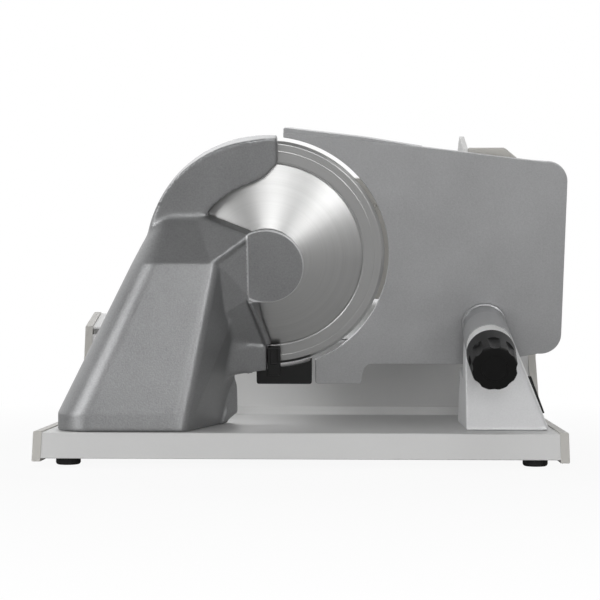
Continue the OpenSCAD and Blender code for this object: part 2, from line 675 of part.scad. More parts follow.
module motor_bracket() color("silver") on_drive() translate([0, 0, motor_reach - 3.6]) difference() {
    union() {
        cylinder(r = motor_r - 1, h = 3.4);
        for (a = ear_angles) rotate([0, 0, a]) translate([0, -6, 0]) {
            cube([ear_reach - 3, 12, 3.4]);
            translate([ear_reach, 6, 0]) cylinder(r = 4.5, h = 3.4);
        }
    }
    translate([0, 0, -1]) cylinder(r = 8.4, h = 6);
    translate([-motor_r, -motor_r - 1, -1]) cube([2 * motor_r, 6.8, 6]);
    for (a = ear_angles) rotate([0, 0, a]) {
        translate([ear_reach, 0, -1]) cylinder(r = 1.8, h = 6);
        translate([14, 0, -1]) cylinder(r = 1.7, h = 6);
    }
}

module motor_screws() color("dimgray") on_drive() for (a = ear_angles) rotate([0, 0, a]) {
    translate([ear_reach, 0, motor_reach - 0.18]) rotate([180, 0, 0]) screw(1.5, 12, 2.8, 1.6);
    translate([14, 0, motor_reach - 3.62]) screw(1.25, 7, 2.3, 1.5);
}

// Electric parts in the rear housing

board_x = button_x[1] - 72;

module circuit_board() color("darkgreen") in_place() {
    translate([board_x, rear_y - 46, foot_h + profile_wall + 8]) {
        cube([60, 34, 1.6]);
        translate([6, 6, 1.6]) cube([16, 12, 9]);
        translate([30, 5, 1.6]) cube([10, 10, 14]);
        translate([46, 12, 1.6]) cylinder(r = 4, h = 10);
    }
    for (x = [board_x + 4, board_x + 56], y = [rear_y - 42, rear_y - 18]) translate([x, y, foot_h + 0.02])
        cylinder(r = 2.5, h = 10.5);
}

module run_capacitor() color("white") in_place() {
    translate([board_x - 50, rear_y - 30, foot_h + profile_wall + 10]) rotate([0, 90, 0]) cylinder(r = 9.5, h = 34);
    translate([board_x - 46, rear_y - 40, foot_h + 0.05]) cube([26, 20, 5]);
}

module switch_block() color([0.15, 0.15, 0.15]) in_place() difference() {
    translate([button_x[1] - 12, rear_y - profile_wall - 30, button_z - 13]) cube([52, 29.9, 26]);
    for (x = button_x) translate([x, rear_y - profile_wall - 18, button_z]) rotate([-90, 0, 0]) {
        cylinder(r = button_r + 0.35, h = 20);
        translate([0, 0, -8]) cylinder(r = 3.6, h = 20);
    }
}

button_travel = 3;

module button(x) translate([x, rear_y - profile_wall - 14, button_z]) rotate([-90, 0, 0]) {
    cylinder(r = button_r, h = profile_wall + 14 + 4);
    translate([0, 0, profile_wall + 17.9]) cylinder(r1 = button_r, r2 = button_r - 1, h = 1);
    translate([0, 0, -4]) cylinder(r = 1.4, h = 4.1);
}

module power_button() color("limegreen") in_place() button(button_x[0]);

module safety_button() color([0.75, 0.1, 0.1]) in_place() button(button_x[1]);

spring_turns = 5;
spring_r = 2.7;
wire_r = 0.35;
spring_len = 11.8;

// A coil spring from y = 0 to its length, its ends ground flat into closed turns
module coil_spring(len) {
    steps = 14;
    rings = spring_turns * steps;
    sides = 6;
    climb = len - 2 * wire_r;
    function centre(i) = [spring_r * cos(360 * i / steps), wire_r + climb * i / rings,
        spring_r * sin(360 * i / steps)];
    function ring(i) = [for (k = [0:sides - 1]) let (a = 360 * k / sides, c = 360 * i / steps)
        centre(i) + wire_r * cos(a) * [cos(c), 0, sin(c)] + wire_r * sin(a) * [0, 1, 0]];
    points = [for (i = [0:rings]) each ring(i)];
    side_faces = [for (i = [0:rings - 1], k = [0:sides - 1]) each let (n = (k + 1) % sides)
        [[i * sides + k, (i + 1) * sides + n, i * sides + n],
        [i * sides + k, (i + 1) * sides + k, (i + 1) * sides + n]]];
    caps = [[for (k = [0:sides - 1]) k], [for (k = [0:sides - 1]) rings * sides + sides - 1 - k]];
    polyhedron(points, concat(side_faces, caps));
}

module button_spring(x) translate([x, rear_y - profile_wall - 14 - spring_len - 0.05, button_z])
    coil_spring(spring_len);

module power_spring() color("silver") in_place() button_spring(button_x[0]);

module safety_spring() color("silver") in_place() button_spring(button_x[1]);

module cord_gland() color([0.08, 0.08, 0.08]) in_place() translate([gland_x, rear_y, gland_z])
    rotate([-90, 0, 0]) difference() {
        union() {
            translate([0, 0, 0.02]) cylinder(r = 8.5, h = 2.5);
            translate([0, 0, -profile_wall - 4]) cylinder(r = 5.9, h = profile_wall + 5);
            translate([0, 0, -profile_wall - 3.6]) cylinder(r = 7.5, h = 3.5);
            translate([0, 0, 2.5]) cylinder(r1 = 6.5, r2 = 5, h = gland_len - 2.5);
        }
        translate([0, 0, -10]) cylinder(r = 3.2, h = 30);
    }

// Gauge plate

plate_points = [[12.2, plate_top], [right_u - 105.8, plate_top - 11], [right_u - 48.6, plate_top - 18.4],
    [right_u - 18.8, plate_top - 22.2]];
rib_us = [for (i = [1:3]) right_u - 155.8 + 40 * i];
corner_r = 15;

module plate_outline() {
    difference() {
        union() {
            polygon([[12.2, 60], plate_points[0], plate_points[1], plate_points[2], plate_points[3],
                [right_u - corner_r, 60], [right_u - corner_r, -76],
                [right_u - 27.9, 6.2 - plate_low], [right_u - 55.8, -plate_low], [75.8, -plate_low],
                [34, -plate_low], [34, 0]]);
            hull() {
                translate([right_u - corner_r, plate_top - 22.2 - corner_r]) circle(r = corner_r);
                translate([right_u - corner_r, -61]) circle(r = corner_r);
                for (v = [-60, 60]) translate([right_u - 65.8, v]) circle(r = 8);
            }
            translate([0, -plate_foot]) polygon([[33.6, 30.6], [33.6, 2], [35.6, 0], [66.4, 0], [68.4, 1.8],
                [70, 10.2], [75.8, 15.8], [75.8, 30.6]]);
        }
        circle(r = arc_r, $fn = 200);
    }
}

gauge_screw_angles = [30, 150, 270];

module gauge_plate() color([0.6, 0.61, 0.62]) in_blade() difference() {
    union() {
        translate([0, 0, plate_back]) linear_extrude(plate_t) plate_outline();
        translate([0, 0, plate_back - 2]) linear_extrude(2.2) difference() {
            polygon([[12.2, plate_top - 2.2], [12.2, plate_top + 2.8], [right_u - 103.8, plate_top - 11],
                [right_u - 115.8, plate_top - 13.2]]);
            circle(r = arc_r, $fn = 200);
        }
        for (u = rib_us) translate([u, -56, plate_back - 0.7]) cube([1.6, 124, 0.8]);
    }
    for (a = gauge_screw_angles) translate([knob_u + 9 * cos(a), -knob_drop + 9 * sin(a), plate_back - 1])
        cylinder(r = bore_r, h = plate_t + 2);
    translate([knob_u, -pin_drop, plate_back + 1]) cylinder(r = pin_r + 0.01, h = plate_t);
}

pin_r = 3;
pin_drop = knob_drop + 25;

module gauge_tube() color([0.7, 0.7, 0.71]) on_knob() translate([0, 0, plate_front]) difference() {
    union() {
        cylinder(r = sleeve_r - 0.3, h = flange_t);
        cylinder(r = tube_r, h = tube_len);
    }
    translate([0, 0, 6]) cylinder(r = tube_r - 2, h = tube_len);
    translate([0, 0, 2]) cylinder(r = spindle_r + 1.6, h = 6);
    for (a = gauge_screw_angles) rotate([0, 0, a]) translate([9, 0, -1]) cylinder(r = screw_r + 0.01,
        h = 5);
}

module gauge_plate_screws() color("dimgray") on_knob() for (a = gauge_screw_angles)
    rotate([0, 0, a]) translate([9, 0, plate_back - 0.02]) screw(screw_r, plate_t + 3.5, 3.6, 1.8);

module gauge_guide_pin() color("lightgray") in_blade()
    translate([knob_u, -pin_drop, plate_back + 1.01]) cylinder(r = pin_r, h = 44);

nut_h = 10;
flange_t = 2.4;
spindle_start = plate_front + 2 + slice_max + 0.6;

module spindle_nut() color("goldenrod") on_knob() translate([0, 0, plate_front + tube_len - nut_h - 3])
    tube(tube_r - 2.01, spindle_r + 0.35, nut_h);

module adjusting_spindle() color("lightgray") on_knob() {
    translate([0, 0, spindle_start]) cylinder(r = spindle_r - 0.6,
        h = knob_back + knob_bore - 0.1 - spindle_start);
    for (i = [0:5]) translate([0, 0, spindle_start + 1 + 4.2 * i]) cylinder(r = spindle_r, h = 2.6);
    translate([0, 0, sleeve_front - sleeve_wall_front - 2.4]) cylinder(r = 7, h = 2.3);
}

module scale_ring() color("whitesmoke") on_knob() translate([0, 0, sleeve_front + 0.02]) difference() {
    cylinder(r = sleeve_r - 0.5, h = ring_w);
    translate([0, 0, 3]) cylinder(r = sleeve_r - 3.5, h = ring_w);
    translate([0, 0, -1]) cylinder(r = spindle_r + 0.3, h = 6);
}

notch_r = 7.8;
notch_start = 14.7;

module thickness_knob() color([0.06, 0.06, 0.06]) on_knob() translate([0, 0, knob_back])
    difference() {
        union() {
            rotate_extrude() polygon([[0, 0], [knob_r, 0], [knob_r, 1.5], [knob_face_r + 0.3, knob_len - 2],
                [knob_face_r - 1.2, knob_len], [0, knob_len]]);
            translate([0, 0, -8.5]) cylinder(r = sleeve_r - 4, h = 8.6);
        }
        for (i = [0:knob_lobes - 1]) rotate([0, 0, 360 * i / knob_lobes])
            translate([knob_face_r - 1.1 + notch_r, 0, notch_start]) cylinder(r = notch_r, h = knob_len);
        translate([0, 0, -9]) cylinder(r = spindle_r - 0.59, h = 9 + knob_bore);
        translate([0, 0, knob_len - 1.6]) cylinder(r = 9, h = 3);
    }

module knob_screw() color([0.12, 0.12, 0.12]) on_knob() translate([0, 0, knob_face_h - 1.58])
    cylinder(r = 8.9, h = 1.2);

// Pedestal

ped_top_y = 50;
ped_lean = 12;
ped_flare = 3.6;

// A slab of the pedestal at one height
module ped_slab(z, front, back, left, right, spread, inset, t) {
    translate([0, 0, z]) linear_extrude(t) polygon([[left + inset, front + inset], [right - inset,
        front + inset],
        [right + spread - inset, back], [left - spread * 0.3 + inset, back]]);
}

module ped_solid(inset) {
    hull() {
        ped_slab(deck_top - (inset > 0 ? 1 : 0), ped_front, ped_back + 1 + 2 * inset, ped_left, ped_right,
            ped_flare, inset, 1);
        ped_slab(ped_crown_z - inset, ped_front + 18, ped_crown_back + 2 * inset, ped_left, knob_x + 15.5,
            ped_flare * 0.5, inset, 0.5);
    }
}

sweep_front = plate_front + slice_max + flange_t + 0.3;

module knob_pedestal() color([0.72, 0.72, 0.73]) {
    difference() {
        union() {
            in_place() difference() {
                ped_solid(0);
                difference() {
                    ped_solid(ped_wall);
                    for (p = pedestal_screw_places) translate([p[0], p[1], 20]) cylinder(r = 6, h = 18);
                }
            }
            on_knob() translate([0, 0, sleeve_back]) cylinder(r = sleeve_r, h = sleeve_front - sleeve_back);
            on_knob() translate([0, -(pin_drop - knob_drop), sleeve_back]) cylinder(r = pin_r + 3, h = 24);
            on_knob() translate([-2, -(pin_drop - knob_drop), sleeve_back]) cube([4, 14, 24]);
        }
        on_knob() {
            translate([0, 0, sleeve_back - 30]) cylinder(r = sleeve_bore,
                h = sleeve_front - sleeve_wall_front
                - sleeve_back + 30);
            translate([0, 0, 20]) cylinder(r = spindle_r + run_gap, h = 40);
            translate([0, -(pin_drop - knob_drop), sleeve_back - 30]) cylinder(r = pin_r + run_gap, h = 70);
        }
        in_blade() translate([60, -90, -60]) cube([180, 200, 60 + sweep_front]);
        for (p = pedestal_screw_places) in_place() translate([p[0], p[1], 20]) cylinder(r = bore_r, h = 16);
    }
}

ped_cover_t = 2.2;
ped_crown_z = 98;
ped_crown_back = 66;
ped_rise = ped_crown_z - deck_top - 0.5;
function ped_back_at(z) = ped_back + 1.1 - (z - deck_top - 1) * (ped_back + 1 - ped_crown_back) / ped_rise;
function ped_lip(z) = 4.9 - (z - deck_top) * 0.035;      // how far the cover shows beside the pedestal
function ped_right_at(z) = ped_right - (z - deck_top - 1) * (ped_right - knob_x - 15.5) / ped_rise;

module pedestal_cover() color([0.05, 0.05, 0.05]) difference() {
    in_place() {
        hull() for (z = [deck_top + 7, 60])
            ped_slab(z, ped_back_at(z) + 0.05, ped_back_at(z) + ped_cover_t, ped_left + 0.5,
                ped_right_at(z) + ped_lip(z), ped_flare, 0, 0.5);
        for (x = [ped_left + ped_wall + 0.1, ped_right_at(45) - 6.5]) translate([x, ped_back_at(45)
            - 8, 42])
            cube([1.6, 9.5, 6]);
    }
    in_blade() translate([60, -90, -60]) cube([180, 200, 60 + sweep_front]);
}

module pedestal_screws() color("dimgray") in_place()
    for (p = pedestal_screw_places) translate([p[0], p[1], deck_top - profile_wall - 0.02])
        screw(screw_r, profile_wall + 10, head_r, 2.4);

// Carriage

// X along the base, Y up the blade's plane, Z from the cutting plane to the rear
module on_food_side() {
    in_place() translate([0, blade_y, blade_z]) rotate([blade_tilt, 0, 0]) children();
}

function floor_world(y) = [blade_y + y * cos_t + floor_drop * sin_t,
    blade_z + y * sin_t - floor_drop * cos_t];
floor_t = 2.5;
hook_t = 4;
wall_screw_ys = [40, 100];
hook_y = lip_y - 0.6 - hook_t;
heel_y = rear_y + 0.6 + hook_t;
sled_front = floor_world(112);
sled_rear = floor_world(floor_depth - 4);

module sled_outline(w) {
    polygon([[sled_front[0] + w, sled_front[1] - 1], [hook_y + w, top_z(lip_y) + slide_gap + w],
        [lip_y, top_z(lip_y) + slide_gap + w], [rear_y, top_z(rear_y) + slide_gap + w],
        [heel_y - w, top_z(rear_y) + slide_gap + w], [sled_rear[0] - w, sled_rear[1] - 1]]);
}

module carriage_table() color([0.75, 0.75, 0.76]) {
    on_food_side() difference() {
        translate([carriage_left, floor_front, floor_v - floor_t]) cube([carriage_len, floor_depth,
            floor_t]);
        for (x = [carriage_left + 8:9:wall_x - 8]) translate([x, floor_front + 6, floor_v - 0.6])
            cube([3, floor_depth - 16, 2]);
        for (y = wall_screw_ys) translate([wall_x + 13, y, floor_v - floor_t - 1]) cylinder(r = 2, h = 6);
    }
    in_place() difference() {
        union() {
            for (x = [carriage_left, carriage_right - 4, carriage_right - 0.5 * carriage_len - 2])
                along_x(x, x + 4) sled_outline(0);
            along_x(carriage_left, carriage_right) intersection() {
                difference() {
                    sled_outline(0);
                    sled_outline(3);
                }
                union() {
                    translate([hook_y - 2, lip_z - 10]) square([70, 24]);
                    translate([lip_y - 60, lip_z - 10]) square([75, 80]);
                }
            }
        }
        for (p = runner_screw_places) translate([p[0], p[1], p[2]]) cylinder(r = 1.05, h = 16);
    }
}

module carriage_runners() color([0.1, 0.1, 0.1]) in_place() difference() {
    front_top = top_z(lip_y) + slide_gap - 0.02;
    rear_top = top_z(rear_y) + slide_gap - 0.02;
    rear_slot = top_z(rear_y) - 12;
    along_x(carriage_left + 4, carriage_right - 4) {
        polygon([[slot_face_y + slot_depth - 1.5, slot_bottom + slide_gap],
            [slot_face_y + slot_depth - 1.5, slot_top - slide_gap], [hook_y + hook_t, slot_top - slide_gap],
            [hook_y + hook_t, front_top], [hook_y, front_top], [hook_y, slot_bottom + slide_gap]]);
        polygon([[heel_y - hook_t, rear_top], [heel_y, rear_top], [heel_y, rear_slot + slide_gap],
            [rear_y - 6, rear_slot + slide_gap], [rear_y - 6, rear_slot + slot_h - slide_gap],
            [heel_y - hook_t, rear_slot + slot_h - slide_gap]]);
    }
    for (p = runner_screw_places) translate([p[0], p[1], p[2] - 1]) {
        cylinder(r = 1.05, h = 20);
        cylinder(r = 2, h = 2.2);
    }
}

runner_screw_places = [for (x = [carriage_left + 30, carriage_right - 30])
    each [[x, hook_y + hook_t / 2, slot_bottom + slide_gap], [x, heel_y - hook_t / 2, top_z(rear_y)
        - 12 + slide_gap]]];

module runner_screws() color("dimgray") in_place() for (p = runner_screw_places)
    translate([p[0], p[1], p[2] + 1.15]) screw(1, 13, 1.8, 1);

module wall_outline() {
    polygon([[floor_front + 0.2, floor_v + 0.02], [floor_front + 0.2, wall_top - 1.5],
        [floor_front + 1.7, wall_top],
        [50, wall_top], [58, wall_top - 5], [150, floor_v + 42], [floor_depth - 6, floor_v + 30],
        [floor_depth - 6, floor_v + 0.02]]);
}

module thrust_wall() color([0.78, 0.78, 0.79]) on_food_side() difference() {
    union() {
        along_x(wall_x, wall_x + wall_t) wall_outline();
        translate([wall_x, floor_front + 6, floor_v + 0.02]) cube([20, floor_depth - 14, 2.5]);
    }
    for (y = wall_screw_ys) translate([wall_x + 13, y, floor_v - 1]) cylinder(r = 2, h = 6);
}

module thrust_wall_screws() color("dimgray") on_food_side()
    for (y = wall_screw_ys) translate([wall_x + 13, y, floor_v - floor_t - 0.02]) screw(1.9, 5.2, 3.5, 1.6);

guard_plate_t = 2.6;

module finger_guard() color([0.78, 0.77, 0.74]) on_food_side() {
    x0 = wall_x + wall_t + 0.02;
    translate([0, floor_front + 3.2, 0]) rotate([90, 0, 0]) linear_extrude(guard_plate_t) polygon([
        [x0, floor_v + 4], [x0, wall_top + 0.4], [x0 + 26, wall_top + 0.4], [x0 + 35, wall_top - 7],
        [x0 + 46, wall_top - 24], [x0 + 48, wall_top - 34], [x0 + 48, floor_v + 20], [x0 + 40,
            floor_v + 4]]);
    translate([x0, floor_front + 3, 30]) cube([3, 22, 16]);
    translate([x0, floor_front + 3, -40]) cube([3, 22, 16]);
}

holder_top = 34;

module remnant_holder() color([0.78, 0.77, 0.74]) on_food_side() difference() {
    union() {
        translate([wall_x - 92, holder_y, floor_v + 3]) cube([90, 3.2, holder_top - floor_v - 3]);
        for (x = [wall_x - 86:12:wall_x - 10]) for (z = [floor_v + 10:14:holder_top - 8])
            translate([x, holder_y, z]) rotate([90, 0, 0]) cylinder(r1 = 1.4, r2 = 0.5, h = 4);
    }
    translate([wall_x - 47, holder_y - 1, -10]) rotate([-90, 0, 0]) cylinder(r = 2.1, h = 6);
}

module holder_grip() color([0.1, 0.1, 0.1]) on_food_side() translate([wall_x - 47, holder_y + 3.22, -10])
    rotate([-90, 0, 0]) {
        cylinder(r = 8, h = 12);
        translate([0, 0, 11.9]) cylinder(r1 = 8, r2 = 15, h = 8);
        translate([0, 0, 19.8]) cylinder(r = 15, h = 6);
    }

module holder_runner() color([0.1, 0.1, 0.1]) on_food_side() {
    translate([wall_x - 1.9, holder_y + 0.4, floor_v + 20]) cube([1.5, 40, 12]);
}

base_profile();
rear_housing();
left_end_cap();
right_end_cap();
bottom_cover();
bottom_cover_screws();
rubber_feet();
foot_screws();
tower_housing();
tower_back_cover();
back_cover_screws();
tower_screws();
blade_foot_guard();
foot_guard_screws();
hub_axle();
worm_wheel();
worm_wheel_bush();
blade_carrier();
carrier_screws();
blade();
blade_lock_screw();
worm_shaft();
worm_bush();
shaft_coupling();
motor_can();
motor_rotor();
motor_bearings();
motor_bracket();
motor_screws();
circuit_board();
run_capacitor();
switch_block();
power_button();
safety_button();
power_spring();
safety_spring();
cord_gland();
gauge_plate();
gauge_tube();
gauge_plate_screws();
gauge_guide_pin();
spindle_nut();
knob_pedestal();
pedestal_cover();
pedestal_screws();
scale_ring();
adjusting_spindle();
thickness_knob();
knob_screw();
carriage_table();
carriage_runners();
runner_screws();
thrust_wall();
thrust_wall_screws();
finger_guard();
remnant_holder();
holder_grip();
holder_runner();
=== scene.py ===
import math
import bmesh
import bpy
from mathutils import Matrix, Vector


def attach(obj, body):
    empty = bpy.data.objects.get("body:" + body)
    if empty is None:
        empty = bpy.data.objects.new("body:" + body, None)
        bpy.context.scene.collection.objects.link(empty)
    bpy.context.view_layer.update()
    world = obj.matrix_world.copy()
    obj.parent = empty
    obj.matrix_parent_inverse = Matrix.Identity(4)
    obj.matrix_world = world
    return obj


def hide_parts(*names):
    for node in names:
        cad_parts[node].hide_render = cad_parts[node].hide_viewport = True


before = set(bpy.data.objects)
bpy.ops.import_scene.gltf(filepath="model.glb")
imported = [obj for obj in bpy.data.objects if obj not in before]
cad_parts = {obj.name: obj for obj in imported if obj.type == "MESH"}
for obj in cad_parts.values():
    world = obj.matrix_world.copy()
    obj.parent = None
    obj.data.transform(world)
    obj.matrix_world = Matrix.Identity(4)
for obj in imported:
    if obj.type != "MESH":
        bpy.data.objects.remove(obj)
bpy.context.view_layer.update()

MM = 0.001
PER_METRE = 1000.0
TILT = math.radians(17.5)
BLADE_R = 85.0

# Pieces are drawn in millimetres in one of these frames: the base, with Z up from the table,
# the blade, with Z out of its face on the slice side, and the knob, with Z along its axis.
LEAN = Matrix.Rotation(math.pi / 2 + TILT, 4, "X")
BASE = Matrix.Translation((-0.00165, -0.115944, 0.0))
BLADE = BASE @ Matrix.Translation((-0.0245, 0.05, 0.1515)) @ LEAN
KNOB = BLADE @ Matrix.Translation((0.1587, -0.0537, 0.0))
BLADE_TO_BASE = Matrix.Translation((-24.5, 50.0, 151.5)) @ LEAN


# Shader maths, and the numbers of the node sockets that are used

VECTOR, VALUE = 0, 1
OBJECT_PLACE, WORLD_WAY = 3, 0
CAMERA_RAY, GLOSSY_RAY, TRANSMISSION_RAY = 0, 3, 6
MIX_FACTOR, MIX_LOW, MIX_HIGH, MIX_COLOUR = 0, 6, 7, 2


class Wire:
    """A socket of a node tree that Python's operators work on."""

    def __init__(self, shade, socket):
        self.shade = shade
        self.socket = socket

    def maths(self, operation, *others):
        return self.shade.node("ShaderNodeMath", {"operation": operation}, [self, *others])[0]

    def __add__(self, other):
        return self.maths("ADD", other)

    __radd__ = __add__

    def __mul__(self, other):
        return self.maths("MULTIPLY", other)

    __rmul__ = __mul__

    def __sub__(self, other):
        return self.maths("SUBTRACT", other)

    def __rsub__(self, other):
        return self.shade.node("ShaderNodeMath", {"operation": "SUBTRACT"}, [other, self])[0]

    def power(self, other):
        return self.maths("POWER", other)

    def clip(self):
        return self.maths("MAXIMUM", 0.0).maths("MINIMUM", 1.0)


class Shade:
    """A material or world whose nodes are made with one call each."""

    def __init__(self, owner):
        owner.use_nodes = True
        self.tree = owner.node_tree
        self.tree.nodes.clear()

    def node(self, kind, settings=None, inputs=()):
        made = self.tree.nodes.new(kind)
        for name, value in (settings or {}).items():
            setattr(made, name, value)
        pairs = inputs.items() if isinstance(inputs, dict) else enumerate(inputs)
        for key, value in pairs:
            if isinstance(value, Wire):
                self.tree.links.new(value.socket, made.inputs[key])
            elif isinstance(value, tuple) and len(made.inputs[key].default_value) == 4:
                made.inputs[key].default_value = (*value, 1.0)
            else:
                made.inputs[key].default_value = value
        return [Wire(self, out) for out in made.outputs]

    def vector(self, operation, *inputs):
        return self.node("ShaderNodeVectorMath", {"operation": operation}, inputs)

    def noise(self, place, scale, detail):
        return self.node("ShaderNodeTexNoise", {"noise_dimensions": "3D"},
                         {"Vector": place, "Scale": scale, "Detail": detail, "Roughness": 0.55})[0]

    def blend(self, factor, low, high):
        return self.node("ShaderNodeMix", {"data_type": "RGBA"},
                         {MIX_FACTOR: factor, MIX_LOW: low, MIX_HIGH: high})[MIX_COLOUR]

    def finish(self, surface):
        self.node("ShaderNodeOutputMaterial", {}, {"Surface": surface})


def scaled(colour, factor):
    return tuple(min(1.0, part * factor) for part in colour)


CLOUD_SCALE = 22.0
GRAIN_DEPTH = 0.0004


def material(name, colour, rough, metal=0.0, grain=900.0, bump=0.05, vary=0.06, coat=0.0,
             specular=0.5, extra=None):
    """A finish whose tone and roughness vary a little, in a fine grain and broad clouds."""
    made = bpy.data.materials.new(name)
    shade = Shade(made)
    place = shade.node("ShaderNodeTexCoord")[OBJECT_PLACE]
    height = shade.noise(place, grain, 4.0)
    clouds = shade.noise(place, CLOUD_SCALE, 2.0)
    tone = shade.blend((height - 0.35) * 0.8 + clouds * 0.5,
                       scaled(colour, 1 - vary), scaled(colour, 1 + vary))
    roughness = (height * 0.5 + clouds * 0.5 - 0.5) * 0.16 + rough
    if extra:
        tone, height = extra(shade, place, tone, height)
    normal = shade.node("ShaderNodeBump", {},
                        {"Strength": bump, "Distance": GRAIN_DEPTH, "Height": height})[0]
    surface = shade.node("ShaderNodeBsdfPrincipled", {}, {
        "Base Color": tone, "Roughness": roughness, "Metallic": metal, "Normal": normal,
        "Coat Weight": coat, "Coat Roughness": 0.15, "Specular IOR Level": specular})[0]
    shade.finish(surface)
    return made


def above(value, limit, sharp):
    """0 under a limit and 1 over it, with an edge as steep as sharp."""
    return ((value - limit) * sharp).clip()


def below(value, limit, sharp):
    return ((limit - value) * sharp).clip()


def from_axis(shade, place, spot):
    """How far a place is from the Z axis of a frame, in metres."""
    axis = spot.to_3x3() @ Vector((0, 0, 1))
    out = shade.vector("SUBTRACT", place, tuple(spot.translation))[VECTOR]
    along = shade.vector("DOT_PRODUCT", out, tuple(axis))[VALUE]
    reach = shade.vector("LENGTH", out)[VALUE]
    return (reach * reach - along * along).power(0.5)


SLEEVE_R = 0.0176
SLEEVE_PAINT = (0.44, 0.443, 0.45)
# Painted highlight: the lighter tone put on the hub's edge rounds in place of the light they would catch.
RIM_HIGHLIGHT_TONE = (0.80, 0.804, 0.81)
BLADE_STEEL = (0.60, 0.60, 0.595)
RING_PITCH = 1300.0
RING_WAVES = 260.0
RING_DEPTH = 0.04


def sleeve_shade(shade, place, tone, height):
    """The sleeve round the knob's axis has the tube's darker paint."""
    mask = below(from_axis(shade, place, KNOB), SLEEVE_R, 1600.0)
    return shade.blend(mask, tone, SLEEVE_PAINT), height


def painted_rim_highlight(shade, place, tone, height):
    """The narrow rounds along the edges of the hub's face get a painted highlight: a lighter tone stands in
    for the light they would catch. Limits are in mm.
    """
    out = shade.vector("SUBTRACT", place, tuple(BLADE.translation))[VECTOR]
    u, v, h = [shade.vector("DOT_PRODUCT", out, tuple(axis))[VALUE] * PER_METRE
               for axis in BLADE.to_3x3().transposed()]
    radius = (u * u + v * v).power(0.5)
    high = above(h, 31.2, 3.0)
    inside = above(u, -14.2, 3.0) * above(v, -27.8, 3.0)
    ring = above(radius, 26.0, 2.5) * below(radius, 28.0, 2.5) * above(u + v * -0.05, -14.2, 3.0)
    left = below(u, -12.4, 2.5) * below(v, 23.5, 3.0)
    foot = below(v, -26.0, 2.5) * below(u, 1.5, 3.0)
    edges = (ring + left + foot).clip() * inside * high
    # painted highlight along the hub's edge rounds
    return shade.blend(edges, tone, RIM_HIGHLIGHT_TONE), height


def blade_rings(shade, place, tone, height):
    """Fine rings round the blade's axis, as a lathe leaves them."""
    radius = from_axis(shade, place, BLADE)
    line = shade.node("ShaderNodeTexNoise", {"noise_dimensions": "1D"},
                      {"W": radius, "Scale": RING_PITCH, "Detail": 2.0, "Roughness": 0.6})[0]
    wide = shade.node("ShaderNodeTexNoise", {"noise_dimensions": "1D"},
                      {"W": radius, "Scale": RING_WAVES, "Detail": 1.0})[0]
    tone = shade.blend((line * 0.6 + wide * 0.4 - 0.3) * 2.2,
                       scaled(BLADE_STEEL, 1 - RING_DEPTH), scaled(BLADE_STEEL, 1 + RING_DEPTH))
    return tone, line


MATERIALS = {
    # The cast paint carries a painted highlight on the hub's edge rounds.
    "cast": material("cast_silver_paint", (0.37, 0.373, 0.378), 0.40, 0.85, bump=0.25, vary=0.30,
                     extra=painted_rim_highlight),
    "plate": material("plate_silver_paint", (0.56, 0.563, 0.57), 0.42, 0.7, bump=0.25, vary=0.20),
    "tube": material("tube_silver_paint", (0.40, 0.403, 0.41), 0.36, 0.7, grain=1400.0, bump=0.15),
    "pedestal": material("pedestal_silver_paint", (0.82, 0.823, 0.83), 0.42, 0.35, bump=0.15, vary=0.10,
                         extra=sleeve_shade),
    "bright": material("bright_silver_paint", (0.80, 0.803, 0.81), 0.40, 0.35, grain=1400.0, bump=0.15,
                       vary=0.05),
    "anodised": material("anodised_profile", (0.80, 0.80, 0.795), 0.48, 0.15, grain=1100.0, vary=0.03),
    "blade": material("turned_blade_steel", BLADE_STEEL, 0.33, 1.0, bump=0.015, extra=blade_rings),
    "pale": material("pale_wall_paint", (0.90, 0.90, 0.89), 0.50, grain=1100.0, vary=0.02),
    "steel": material("plain_steel", (0.55, 0.55, 0.56), 0.30, 1.0, bump=0.04),
    "zinc": material("zinc_plated", (0.52, 0.52, 0.50), 0.38, 1.0),
    "brass": material("sintered_brass", (0.55, 0.38, 0.14), 0.36, 1.0, bump=0.06),
    "copper": material("copper_winding", (0.55, 0.23, 0.10), 0.34, 1.0, bump=0.10),
    "greige": material("greige_moulding", (0.66, 0.645, 0.61), 0.46, grain=1300.0, bump=0.06, vary=0.02),
    "ivory": material("ivory_moulding", (0.72, 0.68, 0.56), 0.42, bump=0.04, vary=0.02),
    "black": material("black_moulding", (0.010, 0.010, 0.010), 0.42, grain=1400.0, bump=0.10, vary=0.10),
    "knob": material("knob_moulding", (0.006, 0.006, 0.006), 0.38, grain=1700.0, vary=0.10, specular=0.2),
    "rubber": material("foot_rubber", (0.028, 0.028, 0.028), 0.75, grain=1600.0, bump=0.12, vary=0.15),
    "green": material("green_button", (0.05, 0.30, 0.07), 0.28, coat=0.4, bump=0.02, vary=0.02),
    "red": material("red_button", (0.42, 0.02, 0.015), 0.28, coat=0.4, bump=0.02, vary=0.02),
    "board": material("lacquered_board", (0.02, 0.16, 0.06), 0.30, coat=0.5, bump=0.04, vary=0.08),
    "white": material("white_sleeve", (0.72, 0.72, 0.70), 0.34, bump=0.03, vary=0.02),
}

